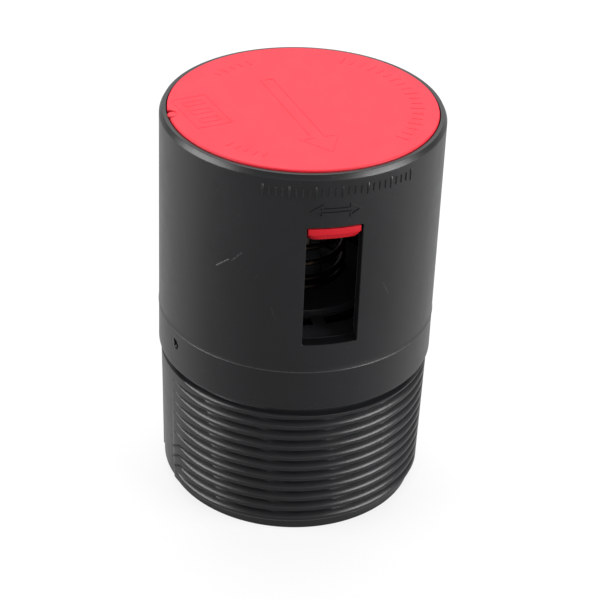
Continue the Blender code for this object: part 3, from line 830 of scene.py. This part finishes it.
def arrow_outline(start, stop, shaft, head, two_ended=False, steps=1):
    """The closed outline of a plain arrow from start to stop, its shaft's sides in this many steps."""
    a = Vector(start)
    b = Vector(stop)
    along = (b - a).normalized()
    across = Vector((-along.y, along.x))
    wing = across * head * HEAD_SHARE
    near = a + along * head if two_ended else a
    far = b - along * head
    lower = [near.lerp(far, i / steps) - across * shaft / 2 for i in range(steps + 1)]
    upper = [far.lerp(near, i / steps) + across * shaft / 2 for i in range(steps + 1)]
    tail = [near + wing, a, near - wing] if two_ended else []
    return lower + [far - wing, b, far + wing] + upper + tail


def box_outline(centre, size, turn):
    """The closed outline of a rectangle turned about its middle."""
    along = Vector((math.cos(turn), math.sin(turn)))
    across = Vector((-along.y, along.x))
    middle = Vector(centre)
    return [
        middle + along * size[0] / 2 * i + across * size[1] / 2 * j
        for i, j in ((-1, -1), (1, -1), (1, 1), (-1, 1))
    ]


# Housing


def rows_between(top, bottom, spacing):
    """Points from top to bottom, both (r, z), no further apart than the spacing, without the last."""
    count = math.ceil((Vector(top) - Vector(bottom)).length / spacing)
    return [tuple(Vector(top).lerp(Vector(bottom), i / count)) for i in range(count)]


def housing_outline(h, t):
    """The turned blank's outline, down the outside and up through the bore."""
    low_r = h.radius - h.draft
    crest_r = low_r - t.step
    end_r = crest_r - t.taper
    root_r = crest_r - t.depth
    plain_r = end_r - t.depth
    counter_r = h.radius - h.rim_wall
    groove_z = h.shoulder_z - t.groove
    chamber_top = h.radius - h.chamber_wall
    chamber_low = chamber_top - h.chamber_draft
    crown = 0.06 * MM
    foot = 0.17 * MM
    rim_edges = (0.12 * MM, 0.7 * MM)
    lip_draft = 0.12 * MM
    lip_edge = 0.2 * MM
    slope = h.draft / (h.rim_z - h.shoulder_z)
    witness_r = low_r + (h.witness_z - h.shoulder_z) * slope

    outline = [(counter_r, h.rim_z - 2 * crown), (counter_r + crown, h.rim_z - crown / 4)]
    outline += rounded([
        (counter_r + 3 * crown, h.rim_z),
        (h.radius - h.rim_slant, h.rim_z, rim_edges[0]),
        (h.radius, h.rim_z - h.rim_drop, rim_edges[1]),
        (h.radius, h.rim_z - 2 * h.rim_drop),
    ])[:-1]
    over_witness = (witness_r, h.witness_z + foot)
    outline += rows_between((h.radius, h.rim_z - 2 * h.rim_drop), over_witness, SLEEVE_ROW)
    outline += [over_witness, (witness_r + h.witness_bead, h.witness_z)]
    outline += rows_between(
        (witness_r, h.witness_z - h.witness_bead), (low_r, h.shoulder_z + h.collar_fillet), SLEEVE_ROW
    )
    outline += fillet_arc((low_r, h.rim_z), (low_r, h.shoulder_z), (root_r, h.shoulder_z), h.collar_fillet)
    outline += [(root_r, h.shoulder_z)]
    outline += rows_between((crest_r, groove_z), (end_r, t.plain_end), t.pitch / ROWS_PER_PITCH)
    outline += [(end_r, t.plain_end)]
    outline += rounded([
        (plain_r, t.end_chamfer),
        (plain_r - t.end_chamfer, 0.0),
        (h.mouth_radius + t.end_chamfer, 0.0),
        (h.mouth_radius, t.end_chamfer),
        (h.bore_radius, h.deck_bottom, 0.5 * MM),
        (h.seat_outer, h.deck_bottom),
        (h.seat_outer - lip_draft, h.seat_z, lip_edge),
        (h.seat_inner + lip_draft, h.seat_z, lip_edge),
        (h.seat_inner, h.deck_bottom),
        (h.guide_bore, h.deck_bottom),
        (h.guide_bore, h.guide_top),
        (h.guide_radius, h.guide_top, 0.3 * MM),
        (h.guide_radius, h.hub_top, 0.5 * MM),
        (h.hub_radius, h.hub_top, 0.25 * MM),
        (h.hub_radius, h.deck_top),
        (chamber_low, h.deck_top, 0.4 * MM),
    ])
    outline += [
        (chamber_low + (chamber_top - chamber_low) * share, h.deck_top + (h.ledge_z - h.deck_top) * share)
        for share in (0.03, 0.2, 0.4, 0.6, 0.8)
    ]
    return outline + [(chamber_top, h.ledge_z), (counter_r, h.ledge_z)]


def gathered(bm, middle, share):
    """Crowds a turned body's columns round two opposite directions, where the thread needs them."""
    for vert in bm.verts:
        r = math.hypot(vert.co.x, vert.co.y)
        turn = math.atan2(vert.co.y, vert.co.x)
        turn -= share / 2 * math.sin(2 * (turn - middle))
        vert.co.x, vert.co.y = polar(r, turn)
    return bm


def window_cutter(h, turn):
    """A rounded bar through the wall that widens a little at the sleeve's surface, for the broken edge."""
    inner = h.radius - h.chamber_wall - h.chamber_draft - h.window_width / 2
    levels = ((inner, 0.0), (h.radius - h.window_edge, 0.0), (h.radius + 2 * MM, 2 * MM + h.window_edge))
    middle = (h.sill_z + h.lintel_z) / 2
    tall = (h.lintel_z - h.sill_z) / 2
    loops = []
    for r, spread in levels:
        wide = h.window_width / 2 + spread
        high = tall + spread
        corners = [(-wide, -high), (wide, -high), (wide, high), (-wide, high)]
        loop = []
        for i, corner in enumerate(corners):
            loop += fillet_arc(corners[i - 1], corner, corners[(i + 1) % 4], h.window_corner + spread, 4)
            following = corners[(i + 1) % 4]
            loop += [
                tuple(a + (b - a) * share for a, b in zip(corner, following)) for share in (0.3, 0.5, 0.7)
            ]
        loops.append([(*beside(r, across, turn), middle + up) for across, up in loop])
    return loft(loops)


def port_cutter(h):
    """Arc slots through the deck, between the spokes."""
    parts = []
    low = h.deck_bottom - 0.6 * MM
    high = h.deck_top + 0.5 * MM
    section = ((h.port_inner, low), (h.port_outer, low), (h.port_outer, high), (h.port_inner, high))
    for port in range(h.port_count):
        middle = facing(h.window_turn) + TURN * (port + 0.5) / h.port_count
        loops = []
        for i in range(PORT_STEPS + 1):
            ring = []
            for r, z in section:
                half = math.pi / h.port_count - math.asin(h.spoke_width / 2 / r)
                ring.append((*polar(r, middle - half + 2 * half * i / PORT_STEPS), z))
            loops.append(ring)
        parts.append(loft(loops))
    return parts


def around(bm, radius):
    """Wraps a flat shape round the sleeve: x becomes the arc from the front, y the height."""
    for vert in bm.verts:
        vert.co = (*polar(radius + vert.co.z, facing(vert.co.x / radius)), vert.co.y)
    return bm


def mesh_parts(objects):
    """The meshes of these objects as bmeshes, the objects removed."""
    parts = []
    for obj in objects:
        bm = bmesh.new()
        bm.from_mesh(obj.data)
        parts.append(bm)
        remove(obj)
    return parts


def sleeve_marks(h):
    """The plain marks over the window: a scale of upright bars, and under it an outlined turn arrow."""
    row = on_arc(
        new_object(bar((4 * h.mark_height, h.mark_stroke, 1.5 * MM), h.mark_height * 0.7), "sleeve_bars"),
        count=25, radius=h.radius - h.mark_height, height=69.1 * MM, start=facing(math.radians(-14.3)),
        step=math.radians(2.57), each=4.0, long=(1.0, 1.0, 1.5),
    )
    middle = h.window_turn * h.radius
    half = 4.1 * MM
    level = 65.7 * MM
    ends = ((middle - half, level), (middle + half, level))
    outline = arrow_outline(*ends, shaft=0.7 * MM, head=1.7 * MM, two_ended=True, steps=8)
    arrow = band(outline, h.mark_stroke * 0.7, -2 * h.mark_height, h.mark_height, slope=h.mark_height)
    return mesh_parts([row]) + [around(arrow, h.radius)]


def gate_scar(h):
    """The torn gate on the collar: a long jagged body that cuts the pit."""
    size = 0.62 * MM
    stretch = 1.7
    sunk = 0.2 * MM
    coarse = 0.4 * MM
    fine = 0.16 * MM
    bm = bmesh.new()
    bmesh.ops.create_icosphere(bm, subdivisions=4, radius=size)
    for vert in bm.verts:
        rough = noise.noise(vert.co / coarse) * 0.4 + noise.noise(vert.co / fine) * 0.2
        vert.co *= 1.0 + rough
        vert.co.z *= stretch
    spot = facing(h.gate_turn)
    place = Matrix.Translation((*polar(h.radius - sunk, spot), h.gate_z))
    lean = Matrix.Rotation(spot, 4, "Z") @ Matrix.Rotation(h.gate_lean, 4, "X")
    bmesh.ops.transform(bm, matrix=place @ lean, verts=bm.verts)
    return [bm]


THREAD_INPUTS = (
    "pitch", "depth", "dome", "taper", "plain_end", "run_out", "land_half", "land_drop", "valley_end",
    "hook_drop", "hook_length", "hook_lead", "hook_top", "hook_bottom",
)


class MakeHousing(bpy.types.Operator):
    """Turns the housing's blank, cuts its thread, windows, ports and marks"""

    bl_idname = "valve.make_housing"
    bl_label = "Housing"

    def execute(self, context):
        h = context.scene.valve_housing
        t = context.scene.valve_thread
        material = housing_material(context.scene.valve_finishes, h)
        land = facing(h.window_turn) - math.pi / 2
        blank = gathered(turned(housing_outline(h, t), COLUMNS), land, t.gather)
        housing = new_object(blank, "housing_shell", material)
        run_tree(housing, cut_thread, {
            **{key: getattr(t, key) for key in THREAD_INPUTS},
            "first_crest": h.shoulder_z - t.first_drop,
            "groove_z": h.shoulder_z - t.groove,
            "crest_radius": h.radius - h.draft - t.step,
            "inside_radius": h.mouth_radius + t.end_chamfer + 0.5 * MM,
            "land_angle": land,
        })
        parts = [window_cutter(h, turn) for turn in window_turns(h)] + port_cutter(h) + gate_scar(h)
        apply_boolean(housing, new_object(joined_bmesh(parts), "housing_cutter"), "DIFFERENCE")
        apply_boolean(housing, new_object(joined_bmesh(sleeve_marks(h)), "sleeve_marks"), "UNION")
        dress(housing, "housing", "housing")
        return {"FINISHED"}


# Cap


def tongue(c, h, turn):
    """A snap tongue that hangs from the skirt, with a barb that catches under the window's upper edge."""
    half = h.window_width / 2 - c.side_gap
    outer = c.skirt_radius - (c.skirt_wall - c.tongue_wall) / 2
    inner = outer - c.tongue_wall
    barb_r = h.radius - c.barb_inset
    barb_top = h.lintel_z - c.side_gap
    bottom = barb_top - c.barb_land - c.barb_lead_in
    flat = half - c.barb_corner
    flat_steps = 6
    corner_steps = 8
    soft = 0.18 * MM
    places = [flat * i / flat_steps for i in range(flat_steps + 1)]
    places += [
        flat + c.barb_corner * math.sin(math.pi / 2 * i / corner_steps) for i in range(1, corner_steps + 1)
    ]
    places = [-place for place in reversed(places[1:])] + places
    loops = []
    for place in places:
        over = max(0.0, abs(place) - flat)
        lift = c.barb_corner - math.sqrt(max(0.0, c.barb_corner**2 - over**2))
        nose = barb_top - c.barb_land + lift * 0.15
        section = (
            (inner, h.ledge_z),
            (inner, bottom + lift),
            (outer, bottom + lift),
            (barb_r - c.barb_heel * 0.6, nose - c.barb_heel + lift * 0.75),
            (barb_r - soft, nose - soft * 1.2),
            (barb_r - soft * 0.3, nose - soft * 0.3),
            (barb_r, nose + soft * 0.6),
            (barb_r, barb_top),
            (outer, barb_top),
            (outer, h.ledge_z),
        )
        loops.append([(*beside(r, place, turn), z) for r, z in section])
    return loft(loops)


def upright(r, low, high, centre):
    """An upright cylinder."""
    bm = bmesh.new()
    bmesh.ops.create_cone(bm, cap_ends=True, segments=40, radius1=r, radius2=r, depth=high - low)
    bmesh.ops.translate(bm, verts=bm.verts, vec=(*centre, (low + high) / 2))
    return bm


def cap_marks(c):
    """The plain marks on the cap's face: an arrow, a framed panel with bars, and scales along the edge."""
    low = c.top - 2 * c.mark_height
    high = c.top + c.mark_height
    slope = 1.5 * c.mark_height
    panel = (-17.0 * MM, -3.6 * MM)
    lean = math.radians(-62)
    along = Vector((math.cos(lean), math.sin(lean)))
    shapes = [
        (arrow_outline((-6.4 * MM, 9.6 * MM), (4.9 * MM, -16.0 * MM), 2.2 * MM, 5.2 * MM), 0.5 * MM),
        (box_outline(panel, (11.0 * MM, 6.2 * MM), lean), 0.3 * MM),
    ]
    for step in (-3.2, 0.0, 3.2):
        centre = Vector(panel) + along * step * MM
        shapes.append((box_outline(centre, (1.5 * MM, 3.4 * MM), lean), 0.35 * MM))
    parts = [band(outline, width, low, high, slope) for outline, width in shapes]
    rows = []
    for name, count, radius, start, step, size in (
        ("cap_scale", 19, 19.4, 58, 5.7, 1.9),
        ("cap_ticks_left", 5, 18.6, 212, 5.6, 1.4),
        ("cap_ticks_front", 5, 19.2, -38, 5.0, 1.3),
    ):
        row = new_object(bar((size * MM, 0.5 * MM, 4 * c.mark_height), c.mark_height), name)
        rows.append(on_arc(
            row, count, radius * MM, c.top - c.mark_height, start=facing(math.radians(start)),
            step=math.radians(step), each=3.0, long=(1.35, 1.0, 1.0),
        ))
    return parts + mesh_parts(rows)


class MakeCap(bpy.types.Operator):
    """Turns the cap and adds its snap tongues, gate notch and marks"""

    bl_idname = "valve.make_cap"
    bl_label = "Cap"

    def execute(self, context):
        c = context.scene.valve_cap
        h = context.scene.valve_housing
        material = cap_material(context.scene.valve_finishes, c)
        support = 0.15 * MM
        inner = c.skirt_radius - c.skirt_wall
        outline = [(0.0, c.top), (c.radius - c.edge - support, c.top)] + rounded([
            (c.radius - c.edge - support / 2, c.top),
            (c.radius, c.top, c.edge),
            (c.radius, c.underside),
            (c.skirt_radius, c.underside),
            (c.skirt_radius, c.skirt_bottom, 0.2 * MM),
            (inner, c.skirt_bottom, 0.2 * MM),
            (inner, c.top - c.plate, 0.4 * MM),
            (0.0, c.top - c.plate),
        ])
        cap = new_object(turned(outline, COLUMNS, closed=False), "cap_shell", material)
        tongues = joined_bmesh([tongue(c, h, turn) for turn in window_turns(h)])
        apply_boolean(cap, new_object(tongues, "tongues"), "UNION")
        gate = facing(c.gate_turn)
        floor = c.top - c.gate_depth
        notch = upright(c.gate_radius, floor, c.top + c.gate_depth, polar(c.radius, gate))
        apply_boolean(cap, new_object(notch, "gate_notch"), "DIFFERENCE")
        apply_boolean(cap, new_object(joined_bmesh(cap_marks(c)), "cap_marks"), "UNION")
        root = 0.5 * MM
        spot = polar(c.radius - c.stub_inset, gate)
        stub = upright(c.stub_radius, floor - root, floor + c.stub_height, spot)
        top_edges = [edge for edge in stub.edges if min(vert.co.z for vert in edge.verts) > floor]
        bmesh.ops.bevel(stub, geom=top_edges, offset=0.2 * MM, segments=4, profile=0.5, affect="EDGES")
        apply_boolean(cap, new_object(stub, "gate_stub"), "UNION")
        dress(cap, "housing", "cap")
        return {"FINISHED"}


# Spring and valve


class MakeSpring(bpy.types.Operator):
    """Winds the spring at one fixed length; in the real valve it shortens as the valve opens"""

    bl_idname = "valve.make_spring"
    bl_label = "Spring"

    def execute(self, context):
        s = context.scene.valve_spring
        material = wire_material(context.scene.valve_finishes, s)
        spring = new_object(bar((MM, MM, MM), 0.1 * MM), "spring_wire", material)
        run_tree(spring, wind_spring, {
            "coil_radius": s.radius,
            "wire_radius": s.wire,
            "pitch": s.pitch,
            "closed_rise": 2 * s.wire + s.closed_gap,
            "open_turns": float(s.active),
            "base": SPRING_LOW.z + s.wire,
            "start": facing(s.start),
            "steps": 60.0,
            "sides": 16,
        }, 60)
        dress(spring, "housing", "spring")
        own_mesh(spring)
        return {"FINISHED"}


def turned_piece(name, corners, material, columns=SMALL_COLUMNS, closed=True):
    """A piece turned from these rounded corners."""
    return new_object(turned(rounded(corners), columns, closed), name, material)


class MakeStem(bpy.types.Operator):
    """Turns the stem with the ribbed flange that carries the rubber disc"""

    bl_idname = "valve.make_stem"
    bl_label = "Stem"

    def execute(self, context):
        flange_r = STEM_HIGH.x
        stem_r = 2.0 * MM
        lead_in = 0.5 * MM
        edge = 0.3 * MM
        gap = 0.3 * MM
        thick = 1.3 * MM
        top = DISC_LOW.z - gap
        bottom = top - thick
        stem = turned_piece("stem_moulding", [
            (0.0, STEM_HIGH.z),
            (stem_r - lead_in, STEM_HIGH.z),
            (stem_r, STEM_HIGH.z - lead_in),
            (stem_r, top, 0.1 * MM),
            (flange_r, top, edge),
            (flange_r, bottom, edge),
            (stem_r * 2, bottom, edge),
            (stem_r * 2, STEM_LOW.z, edge),
            (0.0, STEM_LOW.z),
        ], white_material(context.scene.valve_finishes), closed=False)
        low = bottom - 1.2 * MM
        inside = bottom + 0.65 * MM
        rib_end = flange_r - 1.0 * MM
        section = ((stem_r, low), (rib_end, low + 0.75 * MM), (rib_end, inside), (stem_r, inside))
        rib = loft([[(r, across, z) for r, z in section] for across in (-0.5 * MM, 0.5 * MM)])
        count = 6
        step = TURN / count
        start = facing(context.scene.valve_housing.window_turn) + step / 2
        ribs = on_arc(new_object(rib, "ribs"), count, radius=0.0, height=0.0, start=start, step=step)
        apply_boolean(stem, ribs, "UNION")
        dress(stem, "valve", "stem")
        return {"FINISHED"}


class MakeSealDisc(bpy.types.Operator):
    """Turns the rubber disc that closes the ports from below"""

    bl_idname = "valve.make_seal_disc"
    bl_label = "Seal disc"

    def execute(self, context):
        disc = turned_piece("seal_rubber", [
            (STEM_HOLE, DISC_HIGH.z),
            (DISC_HIGH.x, DISC_HIGH.z, 0.5 * MM),
            (DISC_HIGH.x, DISC_LOW.z, 0.5 * MM),
            (STEM_HOLE, DISC_LOW.z),
        ], rubber_material(context.scene.valve_finishes), COLUMNS)
        dress(disc, "valve", "seal_disc")
        return {"FINISHED"}


class MakeSmallSteel(bpy.types.Operator):
    """Turns the washer over the rubber disc and the push nut that grips the stem"""

    bl_idname = "valve.make_small_steel"
    bl_label = "Washer and push nut"

    def execute(self, context):
        material = plate_material(context.scene.valve_finishes)
        edge = 0.12 * MM
        washer = turned_piece("washer_plate", [
            (STEM_HOLE, WASHER_LOW.z, edge),
            (STEM_HOLE, WASHER_HIGH.z, edge),
            (WASHER_HIGH.x, WASHER_HIGH.z, edge),
            (WASHER_HIGH.x, WASHER_LOW.z, edge),
        ], material)
        dress(washer, "valve", "disc_washer")
        dish = 0.45 * MM
        thick = NUT_HIGH.z - NUT_LOW.z - dish
        nut = turned_piece("push_nut_plate", [
            (STEM_HOLE, NUT_LOW.z + dish, edge),
            (STEM_HOLE, NUT_HIGH.z, edge),
            (NUT_HIGH.x, NUT_LOW.z + thick, edge),
            (NUT_HIGH.x, NUT_LOW.z, edge),
        ], material)
        slot = new_object(bar((3.0 * MM, 0.6 * MM, 4.0 * MM), 0.01 * MM), "nut_slots")
        middle = (NUT_LOW.z + NUT_HIGH.z) / 2
        slots = on_arc(slot, 4, radius=1.9 * MM, height=middle, start=0.0, step=TURN / 4)
        apply_boolean(nut, slots, "DIFFERENCE")
        dress(nut, "valve", "push_nut")
        return {"FINISHED"}


class MakeCup(bpy.types.Operator):
    """Turns the upside-down cup that the spring pushes up"""

    bl_idname = "valve.make_cup"
    bl_label = "Spring cup"

    def execute(self, context):
        s = context.scene.valve_spring
        edge = 0.3 * MM
        boss = 4.1 * MM
        seat = SPRING_HIGH.z + 0.3 * MM
        mouth = seat - 2.0 * MM
        inner = s.radius + s.wire + 0.3 * MM
        cup = turned_piece("cup_moulding", [
            (STEM_HOLE, CUP_HIGH.z),
            (STEM_HOLE, CUP_LOW.z),
            (boss, CUP_LOW.z, edge),
            (boss, seat, edge),
            (inner, seat, edge),
            (inner, mouth),
            (CUP_HIGH.x, mouth, edge),
            (CUP_HIGH.x, CUP_HIGH.z, 0.6 * MM),
        ], white_material(context.scene.valve_finishes))
        dress(cup, "valve", "spring_cup")
        return {"FINISHED"}


# Stage


def floor_material(glow, mirrored, behind):
    """A white floor whose glow only the camera and mirrored rays see, so that the object's shadow stays."""
    material, wires, place = new_material("floor_white")
    y = wires.split(place)[1]
    share = y.between(-50.0, 5.0, smooth=True) * behind + mirrored
    seen = wires.ray("Camera").most(wires.ray("Glossy").most(wires.ray("Transmission")) * share)
    plain = wires.out("ShaderNodeBsdfDiffuse", {"Color": (0.2, 0.2, 0.2, 1.0)})
    light = wires.out("ShaderNodeEmission", {"Color": WHITE, "Strength": seen * glow})
    total = wires.out("ShaderNodeAddShader", {0: plain, 1: light})
    wires.node("ShaderNodeOutputMaterial", {"Surface": total})
    return material


def white_world(strength):
    """A white world: full white for the camera, and its own strength for the light."""
    world = bpy.data.worlds.new("studio")
    world.use_nodes = True
    world.node_tree.nodes.clear()
    wires = Wires(world.node_tree)
    level = wires.ray("Camera") * (1.0 - strength) + strength
    light = wires.out("ShaderNodeBackground", {"Color": WHITE, "Strength": level})
    wires.node("ShaderNodeOutputWorld", {"Surface": light})
    bpy.context.scene.world = world


def soft_box(name, turn, rise, distance, size, brightness):
    """A soft box round the object: its angle from the front, how high it stands, and how bright it looks."""
    target = Vector((0.0, 0.0, HOUSING_HIGH.z * 0.6))
    away = Vector((*polar(math.cos(rise), facing(turn)), math.sin(rise)))
    data = bpy.data.lights.new(name, "AREA")
    data.shape = "RECTANGLE"
    data.size, data.size_y = size
    data.energy = brightness * math.pi * size[0] * size[1]
    light = bpy.data.objects.new(name, data)
    light.location = target + away * distance
    light.rotation_euler = (-away).to_track_quat("-Z", "Y").to_euler()
    bpy.context.collection.objects.link(light)


# Each box's name, direction, rise, distance, size and brightness
SOFT_BOXES = (
    ("left_box", -76, 12, 0.5, (0.38, 0.25), 8.2),
    ("right_box", 65, 12, 0.5, (0.34, 0.25), 10.5),
    ("front_box", 0, 14, 0.6, (0.6, 0.2), 0.7),
    ("back_box", 180, 36, 0.8, (1.3, 0.7), 1.0),
    ("top_box", 180, 68, 0.6, (0.5, 0.4), 3.5),
)


class MakeStage(bpy.types.Operator):
    """Adds the floor, the white surroundings, the lights and the camera"""

    bl_idname = "valve.make_stage"
    bl_label = "Stage"

    def execute(self, context):
        s = context.scene.valve_stage
        bm = bmesh.new()
        bmesh.ops.create_circle(bm, cap_ends=True, radius=FLOOR_RADIUS, segments=64)
        floor = new_object(bm, "floor", floor_material(s.glow, s.mirrored, s.behind))
        white_world(s.world)
        for name, turn, rise, distance, size, brightness in SOFT_BOXES:
            soft_box(name, math.radians(turn), math.radians(rise), distance, size, brightness)

        forward = Vector((
            math.sin(s.pan) * math.cos(s.tilt),
            math.cos(s.pan) * math.cos(s.tilt),
            -math.sin(s.tilt),
        ))
        level = Vector((math.cos(s.pan), -math.sin(s.pan), 0.0))
        up = level.cross(forward)
        right = level * math.cos(s.roll) + up * math.sin(s.roll)
        top = up * math.cos(s.roll) - level * math.sin(s.roll)
        data = bpy.data.cameras.new("photo_camera")
        data.sensor_width = 36.0
        data.lens = s.focal * data.sensor_width / PHOTO_PIXELS
        data.clip_start = 0.01
        camera = bpy.data.objects.new("photo_camera", data)
        axes = Matrix((right, top, -forward)).transposed().to_4x4()
        camera.matrix_world = Matrix.Translation((0.0, -s.distance, s.height)) @ axes
        bpy.context.collection.objects.link(camera)
        context.scene.camera = camera
        context.scene.view_settings.view_transform = "Standard"
        return {"FINISHED"}


class ValvePanel(bpy.types.Panel):
    """Lists the pieces and their main sizes"""

    bl_idname = "VIEW3D_PT_valve"
    bl_label = "Air admittance valve"
    bl_space_type = "VIEW_3D"
    bl_region_type = "UI"
    bl_category = "Valve"

    def draw(self, context):
        layout = self.layout
        for operator in OPERATORS:
            layout.operator(operator.bl_idname)
        for name in GROUPS:
            group = getattr(context.scene, name)
            box = layout.box()
            box.label(text=type(group).__doc__)
            for key in type(group).__annotations__:
                box.prop(group, key)


OPERATORS = (
    MakeHousing, MakeCap, MakeSpring, MakeStem, MakeSealDisc, MakeSmallSteel, MakeCup, MakeStage,
)
GROUPS = {
    "valve_housing": HousingSizes,
    "valve_thread": ThreadSizes,
    "valve_cap": CapSizes,
    "valve_spring": SpringSizes,
    "valve_finishes": Finishes,
    "valve_stage": StageSettings,
}
CLASSES = (*GROUPS.values(), *OPERATORS, ValvePanel)


def register():
    for item in CLASSES:
        bpy.utils.register_class(item)
    for name, group in GROUPS.items():
        setattr(bpy.types.Scene, name, PointerProperty(type=group))


def unregister():
    for name in GROUPS:
        delattr(bpy.types.Scene, name)
    for item in reversed(CLASSES):
        bpy.utils.unregister_class(item)


def main():
    register()
    for operator in OPERATORS:
        family, name = operator.bl_idname.split(".")
        getattr(getattr(bpy.ops, family), name)()


if __name__ == "__main__":
    main()
